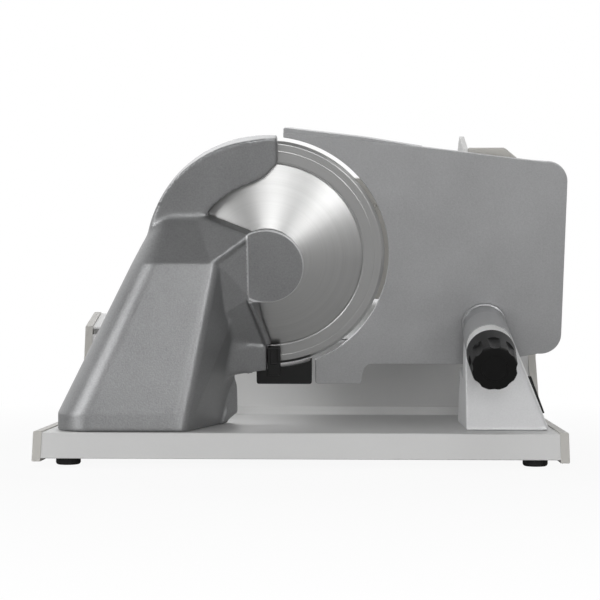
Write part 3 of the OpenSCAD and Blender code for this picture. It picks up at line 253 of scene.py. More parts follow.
# Which finish each solid of the frame has
FINISH = {
    "cast": ["tower_housing", "blade_carrier"],
    "plate": ["gauge_plate"],
    "tube": ["gauge_tube"],
    "pedestal": ["knob_pedestal"],
    "bright": ["carriage_table", "motor_bracket"],
    "pale": ["thrust_wall", "scale_ring"],
    "anodised": ["base_profile", "rear_housing"],
    "blade": ["blade"],
    "steel": ["hub_axle", "worm_shaft", "adjusting_spindle", "gauge_guide_pin", "power_spring",
              "safety_spring"],
    "zinc": ["bottom_cover_screws", "foot_screws", "back_cover_screws", "tower_screws", "foot_guard_screws",
             "carrier_screws", "motor_can", "motor_screws", "gauge_plate_screws", "pedestal_screws",
             "runner_screws", "thrust_wall_screws"],
    "brass": ["worm_wheel_bush", "worm_bush", "motor_bearings", "spindle_nut"],
    "copper": ["motor_rotor"],
    "greige": ["left_end_cap", "right_end_cap", "finger_guard", "remnant_holder"],
    "ivory": ["worm_wheel"],
    "black": ["blade_foot_guard", "pedestal_cover", "blade_lock_screw", "carriage_runners", "holder_grip",
              "holder_runner", "switch_block", "cord_gland", "shaft_coupling", "bottom_cover",
              "tower_back_cover"],
    "knob": ["thickness_knob", "knob_screw"],
    "rubber": ["rubber_feet"],
    "green": ["power_button"],
    "red": ["safety_button"],
    "board": ["circuit_board"],
    "white": ["run_capacitor"],
}
for finish, names in FINISH.items():
    for name in names:
        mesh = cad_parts[name].data
        mesh.materials.clear()
        mesh.materials.append(MATERIALS[finish])

# Solids of the frame that stay as they are, but for their edges' rounds in millimetres
ROUNDED = {"thrust_wall": 0.6, "carriage_table": 0.5, "finger_guard": 0.9, "remnant_holder": 0.8,
           "holder_grip": 1.0, "holder_runner": 0.4, "pedestal_cover": 0.5, "power_button": 0.6,
           "safety_button": 0.6, "cord_gland": 0.5, "bottom_cover": 0.4, "tower_back_cover": 0.6,
           "carriage_runners": 0.3, "motor_bracket": 0.3}
WELD_REACH = 1e-6
for name, width in ROUNDED.items():
    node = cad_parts[name]
    weld = node.modifiers.new("weld", "WELD")
    weld.merge_threshold = WELD_REACH
    round_off = node.modifiers.new("round_off", "BEVEL")
    round_off.width = width * MM
    round_off.segments = 3
    round_off.limit_method = "ANGLE"
    round_off.angle_limit = math.radians(35)


# Making pieces


def cleaned(bm):
    bmesh.ops.remove_doubles(bm, verts=bm.verts, dist=1e-7)
    bmesh.ops.recalc_face_normals(bm, faces=bm.faces)
    return bm


def thing(name, bm, place):
    """A Blender object from a bmesh that is drawn in millimetres."""
    bmesh.ops.transform(bm, matrix=place @ Matrix.Scale(MM, 4), verts=bm.verts)
    cleaned(bm)
    mesh = bpy.data.meshes.new(name)
    bm.to_mesh(mesh)
    bm.free()
    return shown_object(name, mesh)


def shown_object(name, data):
    made = bpy.data.objects.new(name, data)
    bpy.context.scene.collection.objects.link(made)
    return made


def dress(made, finish, body, stands_for, crease=35.0):
    """Gives a finished piece its material and its body, and hides the solid that it replaces."""
    made.data.materials.clear()
    made.data.materials.append(MATERIALS[finish])
    made.data.shade_smooth()
    made.data.set_sharp_from_angle(angle=math.radians(crease))
    flat = made.modifiers.new("flat_faces", "WEIGHTED_NORMAL")
    flat.keep_sharp = True
    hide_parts(stands_for)
    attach(made, body)


def settled(made):
    """Applies an object's modifiers to its mesh."""
    shown = made.evaluated_get(bpy.context.evaluated_depsgraph_get())
    mesh = bpy.data.meshes.new_from_object(shown)
    old = made.data
    made.modifiers.clear()
    made.data = mesh
    bpy.data.meshes.remove(old)
    return made


def cut(made, *tools, operation="DIFFERENCE"):
    for tool in tools:
        step = made.modifiers.new("cut", "BOOLEAN")
        step.operation = operation
        step.solver = "MANIFOLD"
        step.object = tool
        settled(made)
        bpy.data.objects.remove(tool)
    return made


def join_fine(name, parts, voxel):
    """One closed skin round several solids that overlap."""
    bm = bmesh.new()
    for part in parts:
        bm.from_mesh(part.data)
        bpy.data.objects.remove(part)
    mesh = bpy.data.meshes.new(name)
    bm.to_mesh(mesh)
    bm.free()
    made = shown_object(name, mesh)
    step = made.modifiers.new("skin", "REMESH")
    step.mode = "VOXEL"
    step.voxel_size = voxel * MM
    step.adaptivity = 0.0
    return settled(made)


def soften(made, passes, near=None):
    """Smooths the skin at some places, or all over."""
    bm = bmesh.new()
    bm.from_mesh(made.data)
    verts = [v for v in bm.verts if near is None or near(v.co)]
    for _ in range(passes):
        bmesh.ops.smooth_vert(bm, verts=verts, factor=0.5, use_axis_x=True, use_axis_y=True,
                              use_axis_z=True)
    bm.to_mesh(made.data)
    bm.free()


def hull(rings, place):
    """The convex solid round rings of points."""
    bm = bmesh.new()
    for ring in rings:
        for point in ring:
            bm.verts.new(point)
    result = bmesh.ops.convex_hull(bm, input=bm.verts)
    bmesh.ops.delete(bm, geom=list(set(result["geom_interior"] + result["geom_unused"])),
                     context="VERTS")
    return thing("hull", bm, place)


def slab(outline, low, high):
    """A bmesh plate of an outline, from one height to another."""
    bm = bmesh.new()
    face = bm.faces.new([bm.verts.new((x, y, low)) for x, y in outline])
    grown = bmesh.ops.extrude_face_region(bm, geom=[face])["geom"]
    top = [g for g in grown if isinstance(g, bmesh.types.BMVert)]
    bmesh.ops.translate(bm, vec=(0, 0, high - low), verts=top)
    return cleaned(bm)


def lathe(profile, steps):
    """A bmesh turned round Z from points of radius and height."""
    bm = bmesh.new()
    verts = [bm.verts.new((r, 0, h)) for r, h in profile]
    edges = [bm.edges.new(pair) for pair in zip(verts, verts[1:] + verts[:1])]
    bmesh.ops.spin(bm, geom=verts + edges, cent=(0, 0, 0), axis=(0, 0, 1), angle=2 * math.pi,
                   steps=steps, use_merge=True, use_duplicate=False)
    bmesh.ops.remove_doubles(bm, verts=bm.verts, dist=1e-4)
    bmesh.ops.dissolve_degenerate(bm, dist=1e-5, edges=bm.edges)
    return cleaned(bm)


def rounded(bm, width, segments=3, chosen=None, angle=30.0):
    """Bevels the sharp edges, or those of them that are chosen."""
    sharp = [e for e in bm.edges if len(e.link_faces) == 2
             and e.calc_face_angle(0.0) > math.radians(angle) and (chosen is None or chosen(e))]
    bmesh.ops.bevel(bm, geom=sharp, offset=width, segments=segments, affect="EDGES", profile=0.5,
                    material=-1, clamp_overlap=True)
    return bm


def arc(middle, radius, start, end, steps):
    turns = [math.radians(start + (end - start) * i / steps) for i in range(steps + 1)]
    return [(middle[0] + radius * math.cos(turn), middle[1] + radius * math.sin(turn)) for turn in turns]


def three_places(radius, first):
    """Three points on a circle, the first at an angle in degrees."""
    turns = [math.radians(first + step) for step in (0, 120, 240)]
    return [(radius * math.cos(turn), radius * math.sin(turn)) for turn in turns]


def block(low, high):
    bm = bmesh.new()
    bmesh.ops.create_cube(bm, size=1.0)
    size = [b - a for a, b in zip(low, high)]
    bmesh.ops.scale(bm, vec=size, verts=bm.verts)
    bmesh.ops.translate(bm, vec=[(a + b) / 2 for a, b in zip(low, high)], verts=bm.verts)
    return bm


def rod(radius, low, high, sides):
    bm = bmesh.new()
    bmesh.ops.create_cone(bm, cap_ends=True, segments=sides, radius1=radius, radius2=radius, depth=high - low)
    bmesh.ops.translate(bm, vec=(0, 0, (low + high) / 2), verts=bm.verts)
    return bm


def drilled(made, places, radius, low, high, place=BASE, sides=24):
    """Bores along the Z axis of a frame."""
    for x, y in places:
        bore = rod(radius, low, high, sides)
        bmesh.ops.translate(bore, vec=(x, y, 0), verts=bore.verts)
        cut(made, thing("bore", bore, place))


# Tower

DECK = 24.5
CREST = 179.5
ROOF = 144.0
WALL = 3.5
EDGE_R = 9.0
REAR_H = -1.0
GUARD_H = 17.0
FACET = math.radians(19)
CRESCENT_R = 88.8
HUB_H = 33.0
HUB_R = 27.1
HUB_NECK_R = 24.4
HUB_LEFT = -13.5
HUB_ROUND = 1.3
RIDGE_R = 1.5
WHEEL_ROOM_R = 22.7
AXLE_R = 5.0
BLADE_AIR = 1.4
FAR = 200


def leg_ring(z, left, front, right, right_rear, rear, r):
    """The leg's outline at a height, round in front and leaning on the right."""
    corner = arc((left + r, front + r), r, 180, 270, 16)
    lean = math.degrees(math.atan2(right_rear - right, rear - front))
    edge = arc((right - EDGE_R, front + EDGE_R), EDGE_R, -90, -lean, 10)
    return [(x, y, z) for x, y in corner + edge + [(right_rear, rear), (left, rear)]]


def leg_rings(inset):
    foot = DECK - (1.0 if inset else 0.0)
    low = [leg_ring(z, -175.6 + inset, 3 + inset, -78.5 - inset, -56 - inset, 100, 27 - inset)
           for z in (foot, 37.0)]
    high = [leg_ring(z - inset, -122.5 + inset, 9 + inset, -56 - inset, -36 - inset, 60, 22 - inset)
            for z in (ROOF - 0.4, ROOF)]
    return low + high


def corners(low, high):
    return [(x, y, z) for x in (low[0], high[0]) for y in (low[1], high[1]) for z in (low[2], high[2])]


def loft(*rings):
    """A bmesh solid through rings with as many points each."""
    bm = bmesh.new()
    rings = [[bm.verts.new(point) for point in ring] for ring in rings]
    for low, high in zip(rings, rings[1:]):
        for i in range(len(low)):
            bm.faces.new((low[i - 1], low[i], high[i], high[i - 1]))
    for ring in (rings[0], rings[-1]):
        bm.faces.new(ring)
    return cleaned(bm)


def hub_edge(inset, reach=HUB_R):
    """The hub's outline: round on the right, cut off straight on the left and at the foot."""
    reach -= inset
    left = HUB_LEFT + inset
    top = math.degrees(math.acos(left / reach))
    return arc((0, 0), reach, -87, top, 72) + [(left, -HUB_R + inset)]


def hub_face():
    """The hub narrows towards the blade, and its outer edge has a round."""
    rims = [(0, HUB_NECK_R, HUB_H - 18.0)]
    for turn in (math.pi * i / 12 for i in range(7)):
        rims.append((HUB_ROUND * (1 - math.cos(turn)), HUB_R, HUB_ROUND * (1 - math.sin(turn))))
    return loft(*[[(x, y, HUB_H - drop) for x, y in hub_edge(inset, reach)] for inset, reach, drop in rims])


def leg_and_roof():
    crest = [leg_ring(z, -104.6, 24.4, -67.5, -52, 50, 12) for z in (CREST - 0.4, CREST)]
    roof = [leg_ring(z, -122.5, 9, -56, -36, 60, 22) for z in (ROOF - 0.4, ROOF)]
    hub_corner = [tuple(BLADE_TO_BASE @ Vector(p)) for p in corners((-13.6, 21, 4), (-11.6, 23, HUB_H - 0.2))]
    near_roof = [[(max(x, limit), y, z) for x, y, z in ring]
                 for ring, limit in zip(roof + crest, (-63, -63, -76, -76))]
    return [hull(leg_rings(0), BASE), hull(roof + crest, BASE), hull(near_roof + [hub_corner], BASE)]


def arm():
    """The webs between the leg, the hub and the black guard's seat."""
    edge = hull([corners((-13.5, -27.4, 4), (-11.2, -25.4, HUB_H)),
                 corners((-3.5, -68, 2), (0.9, -66, 8))], BLADE)
    turns = [math.pi * i / 6 for i in range(12)]
    ridge = hull([[(u + RIDGE_R * math.cos(turn), v, h + RIDGE_R * math.sin(turn)) for turn in turns]
                  for u, v, h in ((-12.0, -25.8, HUB_H - 1.4), (-1.2, -67.5, 8.0))], BLADE)
    side = thing("hub_side", block((-12.9, -26.8, 4), (-11.2, 22.5, HUB_H - 0.9)), BLADE)
    web = hull([corners((-13.5, -24.5, 4), (-12.5, 21, 30.6)), corners((-3.5, -68, 2), (-2.5, -66, 6)),
                corners((-33.5, 3, 4), (-32.5, 4, 38)), corners((-38, -40, 4), (-37, -39, 30)),
                corners((-38, -68, 4), (-37, -67, 16))], BLADE)
    foot = hull([corners((-38, -90, REAR_H), (-34, -62, 20)),
                 corners((-4, -88.5, REAR_H), (-2, -69, 7))], BLADE)
    return [edge, ridge, side, web, foot]


def screw_flange():
    rings = [[(x - 24.5, y, z) for x, y in ((-45.5, 74), (right, 74), (far, 82), (far, 94), (-45.5, 94))]
             for z, right, far in ((DECK, -36, -36), (33, -33, -25.7), (60, -33, -25.7), (65.5, -36, -31))]
    return hull(rings, BASE)


def crescent():
    """The guard over the blade, with its facet cut off towards the leg."""
    inner = [(-60, 0), (-43.2, 34.4), (-38.3, 40.5), (-31.7, 46), (-24.4, 51.1), (-16.4, 55.1), (-8.5, 57.6),
             (-1.3, 60.9), (3.1, 65.2), (8, 69.9)]
    bm = slab(arc((0, 0), CRESCENT_R, 84.8, 166.5, 60) + inner, REAR_H, GUARD_H)
    bmesh.ops.bisect_plane(bm, geom=bm.verts[:] + bm.edges[:] + bm.faces[:], plane_co=(-12, 0, GUARD_H),
                           plane_no=(math.sin(FACET), 0, math.cos(FACET)), clear_outer=True)
    bmesh.ops.holes_fill(bm, edges=bm.edges, sides=0)
    return thing("crescent", bm, BLADE)


def blade_room(name, low, air):
    """The space that the blade's cone turns in, with some air round it."""
    profile = [(0, low), (BLADE_R + air, low), (BLADE_R + air, 1.8 + air), (70.6, 2.7 + air),
               (24, 17.49 + air), (0, 17.49 + air)]
    return thing(name, lathe(profile, 160), BLADE)


def behind(height):
    """All that lies behind a height in the blade's frame."""
    return thing("back", block((-FAR, -FAR, -60), (FAR, FAR, height)), BLADE)


def tower():
    parts = leg_and_roof() + arm() + [screw_flange(), crescent()]
    parts.append(thing("hub", slab(hub_edge(1.5, HUB_NECK_R), 4, HUB_H - 1.4), BLADE))
    made = join_fine("tower_casting", parts, 1.0)
    to_blade = BLADE.inverted()

    def away_from_hub(co):
        u, v, h = (to_blade @ co) / MM
        return math.hypot(u, v) > 31.0

    def crescent_foot(co):
        u, v, h = (to_blade @ co) / MM
        return h < 24.0 and u < -45.0 and 14.0 < v < 42.0

    def arm_foot(co):
        u, v, h = (to_blade @ co) / MM
        return h < 27.0 and u < -16.0 and -95.0 < v < -40.0
    soften(made, 1)
    soften(made, 2, away_from_hub)
    soften(made, 25, crescent_foot)
    soften(made, 45, arm_foot)
    step = made.modifiers.new("thin", "DECIMATE")
    step.ratio = 0.45
    settled(made)
    cut(made, thing("hub_face", hub_face(), BLADE), operation="UNION")
    cut(made, behind(REAR_H), thing("foot", block((-250, -100, -50), (100, 250, DECK)), BASE),
        blade_room("blade_space", -8, BLADE_AIR))
    cavity = hull(leg_rings(WALL), BASE)
    cut(cavity, behind(REAR_H - 4), blade_room("blade_wall", -9, BLADE_AIR + WALL))
    cut(made, cavity, thing("wheel_room", rod(WHEEL_ROOM_R, 17.0, 29.0, 96), BLADE),
        thing("axle_bore", rod(AXLE_R + 0.03, 10, HUB_H - 0.8, 48), BLADE),
        thing("guard_seat", block((-13, -102, -2), (27, -87.8, 48)), BLADE),
        thing("guard_arm_seat", block((-1.75, -90, 4), (30, -69.5, 55)), BLADE))
    dress(made, "cast", "machine_body", "tower_housing")


tower()


# Blade and its foot guard

RIM_WAY_R = 86.2


def blade():
    profile = [(12, 15.89), (24.1, 15.89), (67.2, 1.2), (80.8, -0.25), (84.7, -0.08), (BLADE_R, 0),
               (84.7, 0.4), (83.0, 1.5), (82.6, 1.62), (78.2, 1.78), (77.9, 1.68), (77.5, 1.80), (70.2, 2.06),
               (69.8, 1.86), (69.2, 1.86), (68.8, 2.3), (68.2, 2.72), (24.6, 17.3), (23.9, 17.49),
               (12, 17.49)]
    made = thing("round_blade", lathe(profile, 256), BLADE)
    drilled(made, three_places(18.5, 90), 2.2, 12, 20, BLADE, 32)
    dress(made, "blade", "blade_unit", "blade", crease=12.0)


def foot_guard():
    outline = [(-10.3, -98.4), (-9.3, -99.4), (30, -99.4), (31, -98.4), (31.2, -81), (9.5, -78), (7.8, -76),
               (7.8, -70.6), (7.0, -69.6), (-1.0, -69.6), (-1.7, -70.4), (-1.7, -88.3), (-9.6, -88.3),
               (-10.3, -89)]
    made = thing("black_foot_guard", rounded(slab(outline, REAR_H, 6.0), 0.6), BLADE)
    cut(made, thing("blade_way", rod(RIM_WAY_R, -10, 20, 192), BLADE))
    arm_outline = [(-1.7, -92), (7.8, -92), (7.8, -70.6), (6.8, -69.6), (-0.7, -69.6), (-1.7, -70.6)]
    upright = thing("upright", rounded(slab(arm_outline, 1.0, 8.2), 0.6), BLADE)
    cut(upright, thing("rim_way", rod(RIM_WAY_R, -10, 4.6, 192), BLADE))
    cut(made, upright, operation="UNION")
    cut(made, thing("recess", rounded(block((0.2, -83, 7.0), (6.2, -71.4, 11)), 0.8, 2), BLADE))
    drilled(made, [(-6, -94), (26, -94)], 1.6, REAR_H - 1, 4, BLADE)
    dress(made, "black", "machine_body", "blade_foot_guard")


# Gauge plate and knob

PLATE_ARC = 88.0
PLATE_TOP_X = 12.2
PLATE_FOOT_X = 33.6
PLATE_CORNER_R = 15.0
SCREW_CIRCLE_R = 9
PIN_PLACE = (0, -25)
SLEEVE_FRONT = 51.5
RING_W = 13.0
KNOB_LEN = 33.0
KNOB_BACK = SLEEVE_FRONT + RING_W + 0.4
SCOOP_R = 7.8
LOBES = 8
TICKS = 16


def on_knob_axis(height):
    return KNOB @ Matrix.Translation((0, 0, height * MM))


def plate_edge():
    """The plate's outline, from the top of the blade's arc round to its foot."""
    start = math.degrees(math.atan2(math.sqrt(PLATE_ARC ** 2 - PLATE_TOP_X ** 2), PLATE_TOP_X))
    end = math.degrees(math.atan2(-math.sqrt(PLATE_ARC ** 2 - PLATE_FOOT_X ** 2), PLATE_FOOT_X))
    inner = arc((0, 0), PLATE_ARC, start, end, 120)
    foot = [(PLATE_FOOT_X, -98.6)] + arc((PLATE_FOOT_X + 2, -98.6), 2.0, 180, 270, 5)[1:]
    foot += arc((66.2, -98.4), 2.2, -90, 0, 5) + [(68.9, -94)] + arc((76.2, -91.2), 6.4, 172, 92, 8)
    lower = [(140, -84.8), (160, -84.6), (175, -81.8), (187.9, -78.6)]
    corner = arc((200.8, -61.6), PLATE_CORNER_R, -96, 0, 16)
    upper = arc((200.8, 54), PLATE_CORNER_R, 0, 92, 16)
    top = [(190, 69.9), (167.2, 72.8), (110, 80.2), (PLATE_TOP_X, 91.0)]
    return inner + foot + lower + corner + upper + top


def gauge_plate():
    made = thing("gauge_plate_skin", rounded(slab(plate_edge(), -1.0, 2.0), 0.55, 3, angle=60.0), BLADE)
    hem_outline = [(12.3, 88.6), (12.3, 93.3), (13.2, 94.1), (18, 93.7), (70, 87.1), (112, 80.0), (100, 77.5)]
    hem = thing("top_hem", rounded(slab(hem_outline, -3.0, 1.55), 0.5), BLADE)
    cut(hem, thing("blade_way", rod(PLATE_ARC, -10, 10, 256), BLADE))
    cut(made, hem, operation="UNION")
    for u in (100, 140, 180):
        rib = thing("rib", rounded(block((u, -56, -1.7), (u + 1.6, 68, -0.8)), 0.25, 2), BLADE)
        cut(made, rib, operation="UNION")
    drilled(made, three_places(SCREW_CIRCLE_R, 30), 2.1, -2, 3, KNOB)
    drilled(made, [PIN_PLACE], 3.01, 0, 4, KNOB, 32)
    dress(made, "plate", "gauge_unit", "gauge_plate", crease=40.0)


def knob():
    body = [(3.41, 8.8), (0, 8.8), (0, KNOB_LEN - 1.6), (9, KNOB_LEN - 1.6), (9, KNOB_LEN), (14.3, KNOB_LEN),
            (15.3, KNOB_LEN - 0.4), (15.9, KNOB_LEN - 1.4), (17.25, 1.8), (17.2, 0.5), (16.8, 0),
            (12.7, 0), (12.7, -8.0), (12.2, -8.5), (3.41, -8.5)]
    made = thing("knob_body", lathe(body, 180), on_knob_axis(KNOB_BACK))
    for i in range(LOBES):
        scoop = bmesh.new()
        bmesh.ops.create_uvsphere(scoop, u_segments=48, v_segments=24, radius=SCOOP_R)
        bmesh.ops.scale(scoop, vec=(1, 1, 0.5), verts=scoop.verts)
        far = [v for v in scoop.verts if v.co.z > 0.01]
        bmesh.ops.translate(scoop, vec=(0, 0, KNOB_LEN), verts=far)
        turn = Matrix.Rotation(math.radians(360 * i / LOBES), 4, "Z")
        bmesh.ops.transform(scoop, matrix=turn @ Matrix.Translation((22.5, 0, 17.3)), verts=scoop.verts)
        cut(made, thing("scoop", scoop, on_knob_axis(KNOB_BACK)))
    dress(made, "knob", "knob_unit", "thickness_knob", crease=32.0)
    disc = lathe([(0, -1.18), (8.9, -1.18), (8.96, 0.3), (8.9, 0.4), (0, 0.4)], 96)
    face = thing("knob_face", disc, on_knob_axis(KNOB_BACK + KNOB_LEN - 0.4))
    dress(face, "knob", "knob_unit", "knob_screw")


def scale_ring():
    """A plain pale ring with fine ticks cut into its skin."""
    place = on_knob_axis(SLEEVE_FRONT + 0.02)
    profile = [(4.3, 0), (16.0, 0), (16.2, 0.2), (16.2, 11.6), (15.6, 12.6), (14.6, RING_W), (13.2, RING_W),
               (13.2, 3), (4.3, 3)]
    made = thing("pale_scale_ring", lathe(profile, 144), place)
    for i in range(TICKS):
        tick = block((15.95, -0.18, 3.5), (16.6, 0.18, 8.5 if i % 5 == 0 else 6.5))
        turn = Matrix.Rotation(math.radians(20 * i), 3, "Z")
        bmesh.ops.rotate(tick, cent=(0, 0, 0), matrix=turn, verts=tick.verts)
        cut(made, thing("tick", tick, place))
    dress(made, "pale", "machine_body", "scale_ring")


def gauge_tube():
    place = on_knob_axis(2.0)
    profile = [(13.5, 6), (5.6, 6), (5.6, 2), (0, 2), (0, 0), (16.2, 0), (16.8, 0.5), (16.9, 1.2),
               (16.6, 2.0), (15.5, 2.4), (15.5, 30.4), (15.1, 31), (13.5, 31)]
    made = thing("carrier_tube", lathe(profile, 144), place)
    drilled(made, three_places(SCREW_CIRCLE_R, 30), 2.01, -1, 4, place)
    dress(made, "tube", "gauge_unit", "gauge_tube")


# Pedestal

PED_LEFT, PED_RIGHT, PED_FRONT, PED_BACK = 118.4, 177.5, 25.0, 105.0
PED_TOP, PED_TOP_BACK = 98.0, 66
PED_SLOPE = 0.378
PED_WALL = 3.0
KNOB_X = 134.2
SLEEVE_BACK = 20.5
GUIDE_FRONT = 44.5


def ped_ring(z, front, back, right, spread, inset):
    front += inset
    back += 2 * inset
    return [(PED_LEFT + inset, front, z), (right - inset, front, z), (right + spread - inset, back, z),
            (PED_LEFT - spread * 0.3 + inset, back, z)]


def ped_rings(inset):
    low = DECK - (1.0 if inset else 0.0)
    top = PED_TOP - inset
    return [ped_ring(z, PED_FRONT, PED_BACK, PED_RIGHT, 3.6, inset) for z in (low, low + 1)] + [
        ped_ring(z, PED_FRONT + 18, PED_TOP_BACK, KNOB_X + 15.5, 1.8, inset) for z in (top, top + 0.5)]


def pedestal():
    sleeve = thing("sleeve", rod(16.7, SLEEVE_BACK, SLEEVE_FRONT, 144), KNOB)
    made = join_fine("knob_pedestal_casting", [hull(ped_rings(0), BASE), sleeve], 0.9)
    to_knob = KNOB.inverted()
    to_base = BASE.inverted()

    def near_sleeve(co):
        u, v, h = (to_knob @ co) / MM
        return 16.0 < math.hypot(u, v) < 24.0 and h < 49.0

    def right_edge(co):
        x, y, z = (to_base @ co) / MM
        return y < 52.0 and abs(PED_RIGHT - (z - DECK) * PED_SLOPE - x) < 5.0
    soften(made, 5)
    soften(made, 10, near_sleeve)
    soften(made, 16, right_edge)
    cut(made, thing("foot", block((-250, -100, -50), (250, 250, DECK)), BASE),
        hull(ped_rings(PED_WALL), BASE))
    guide = rod(6.0, SLEEVE_BACK, GUIDE_FRONT, 48)
    bmesh.ops.translate(guide, vec=(*PIN_PLACE, 0), verts=guide.verts)
    web = block((-2, -25, SLEEVE_BACK), (2, -11, GUIDE_FRONT))
    cut(made, thing("guide", guide, KNOB), thing("web", web, KNOB), operation="UNION")
    cut(made, thing("tube_bore", rod(15.55, -20, SLEEVE_FRONT - 2.5, 144), KNOB),
        thing("spindle_bore", rod(4.05, 10, 60, 48), KNOB))
    drilled(made, [PIN_PLACE], 3.05, -20, 90, KNOB, 32)
    cut(made, thing("plate_sweep", block((60, -90, -60), (240, 110, 19.7)), BLADE))
    dress(made, "pedestal", "machine_body", "knob_pedestal")


blade()
foot_guard()
gauge_plate()
knob()
scale_ring()
gauge_tube()
pedestal()


# Base

HALF = 188.0
CAP_T = 6.2
PROFILE = HALF - CAP_T
FOOT_H = 6.5
REAR_Y = 252.0
REAR_FOOT = 178.0
GROOVE = 31.5
LIP_Y, LIP_Z = 210.0, 95.5
SLOT_TOP = LIP_Z - 1.8
SLOT_LOW = SLOT_TOP - 4.4
SLOT_Y = LIP_Y - 2
SLOT_BACK = SLOT_Y + 8
PROFILE_WALL = 2.5
ROOF_SLOPE = math.tan(math.radians(15))
FEET = [(x, y) for x in (-167, 167) for y in (22, 228)]
TOWER_SCREWS = [(-168, 46), (-100, 11), (-70, 70), (-168, 80)]
PED_SCREWS = [(126.4, 35), (165.5, 35), (126.4, 88), (168.5, 88)]


def top_z(y):
    return LIP_Z + (y - LIP_Y) * ROOF_SLOPE


def along_x(outline, x0, x1):
    """A bmesh bar with an outline in Y and Z."""
    bm = slab(outline, x0, x1)
    turn = Matrix(((0, 0, 1, 0), (1, 0, 0, 0), (0, 1, 0, 0), (0, 0, 0, 1)))
    bmesh.ops.transform(bm, matrix=turn, verts=bm.verts)
    return cleaned(bm)


def is_long(edge):
    return abs(edge.verts[0].co.x - edge.verts[1].co.x) > 50


def base_profile():
    outer = [(-4.6, FOOT_H), (-5.0, FOOT_H + 0.5), (-0.5, DECK - 0.5), (0.2, DECK), (REAR_FOOT, DECK),
             (REAR_FOOT, GROOVE), (184, GROOVE), (184, 9), (REAR_Y - 2.5, 9), (REAR_Y - 2.5, GROOVE),
             (REAR_Y, GROOVE), (REAR_Y, FOOT_H)]
    made = thing("deck_profile", rounded(along_x(outer, -PROFILE, PROFILE), 0.25, 2, is_long, 25.0), BASE)
    for low, top_low, high in ((1.25 - 3, 1.25 + 2, 60.75), (63.25, 63.25, 120.75), (123.25, 123.25, 176.75)):
        cell = [(low, 9), (top_low, 22), (high, 22), (high, 9)]
        cut(made, thing("cell", along_x(cell, -PROFILE - 5, PROFILE + 5), BASE))
    drilled(made, FEET, 2.1, 5.5, 10)
    drilled(made, TOWER_SCREWS + PED_SCREWS, 2.1, 20, 27)
    drilled(made, TOWER_SCREWS + PED_SCREWS, 4.8, 5, 10)
    cut(made, thing("room", block((-PROFILE + 20, 188, 5), (PROFILE - 20, 238, 11)), BASE))
    dress(made, "anodised", "machine_body", "base_profile")


def rear_housing():
    w = PROFILE_WALL
    outer = [(181, GROOVE), (203.5, 70), (SLOT_Y, SLOT_LOW), (SLOT_BACK, SLOT_LOW), (SLOT_BACK, SLOT_TOP),
             (LIP_Y, SLOT_TOP), (LIP_Y - 0.1, LIP_Z - 0.4), (LIP_Y + 0.4, LIP_Z),
             (REAR_Y - 0.6, top_z(REAR_Y - 0.6)), (REAR_Y, top_z(REAR_Y) - 0.7),
             (REAR_Y, top_z(REAR_Y) - 7.6), (REAR_Y - 7.5, top_z(REAR_Y) - 7.6),
             (REAR_Y - 7.5, top_z(REAR_Y) - 12), (REAR_Y, top_z(REAR_Y) - 12), (REAR_Y, GROOVE)]
    bar = rounded(along_x(outer, -PROFILE, PROFILE), 0.2, 2,
                  lambda edge: is_long(edge) and edge.verts[0].co.z > 35, 20.0)
    made = thing("rear_profile", bar, BASE)
    inner = [(184, GROOVE - 1), (206, 70), (SLOT_Y + w, SLOT_LOW - w), (SLOT_BACK + w, SLOT_LOW - w),
             (SLOT_BACK + w, top_z(SLOT_BACK + w) - w), (REAR_Y - 10, top_z(REAR_Y - 10) - w),
             (REAR_Y - 10, top_z(REAR_Y) - 14.5), (REAR_Y - w, top_z(REAR_Y) - 14.5),
             (REAR_Y - w, GROOVE - 1)]
    cut(made, thing("hollow", along_x(inner, -PROFILE - 5, PROFILE + 5), BASE))
    side = BASE @ Matrix.Rotation(-math.pi / 2, 4, "X")
    drilled(made, [(120, -62), (92, -62)], 8.4, 245, 256, side, 48)
    drilled(made, [(150, -48)], 6.0, 245, 256, side, 48)
    dress(made, "anodised", "machine_body", "rear_housing")


def end_cap(name, side):
    """A moulded cap with plugs that go into the base profile's cells."""
    proud = 0.8
    outline = [(-5.9, FOOT_H - 2), (-6.0, FOOT_H - 1), (-0.9, DECK + 0.2), (-0.2, DECK + proud),
               (REAR_FOOT - 1.5, DECK + proud), (REAR_FOOT - proud, DECK + 1.5),
               (REAR_FOOT - proud, GROOVE + proud), (203.5 - proud, 70.4), (LIP_Y - 1.2, SLOT_TOP),
               (LIP_Y - 0.8, LIP_Z + 0.6), (LIP_Y, LIP_Z + 1.0), (REAR_Y, top_z(REAR_Y) + 1.0),
               (REAR_Y + 0.8, top_z(REAR_Y) + 0.2), (REAR_Y + 0.8, FOOT_H - 1.4), (REAR_Y + 0.2, FOOT_H - 2)]
    parts = [rounded(along_x(outline, PROFILE, HALF), 0.9, 3,
                     lambda e: min(v.co.x for v in e.verts) > HALF - 0.01, 60.0)]
    for y, z, deep, tall in ((8, 9.15, 10, 12.7), (69.4, 9.15, 10, 12.7), (131.4, 9.15, 10, 12.7),
                             (194, 9.4, 12, 12), (237.5, 37.6, 11.8, 22)):
        parts.append(rounded(block((PROFILE - 9, y, z), (PROFILE + 0.4, y + deep, z + tall)), 0.6, 2))
    mirror = Matrix.Scale(side, 4, (1, 0, 0))
    made = None
    for part in parts:
        bmesh.ops.transform(part, matrix=mirror, verts=part.verts)
        solid = thing(name, part, BASE)
        made = cut(made, solid, operation="UNION") if made else solid
    dress(made, "greige", "machine_body", name)
    made.name = name + "_moulding"


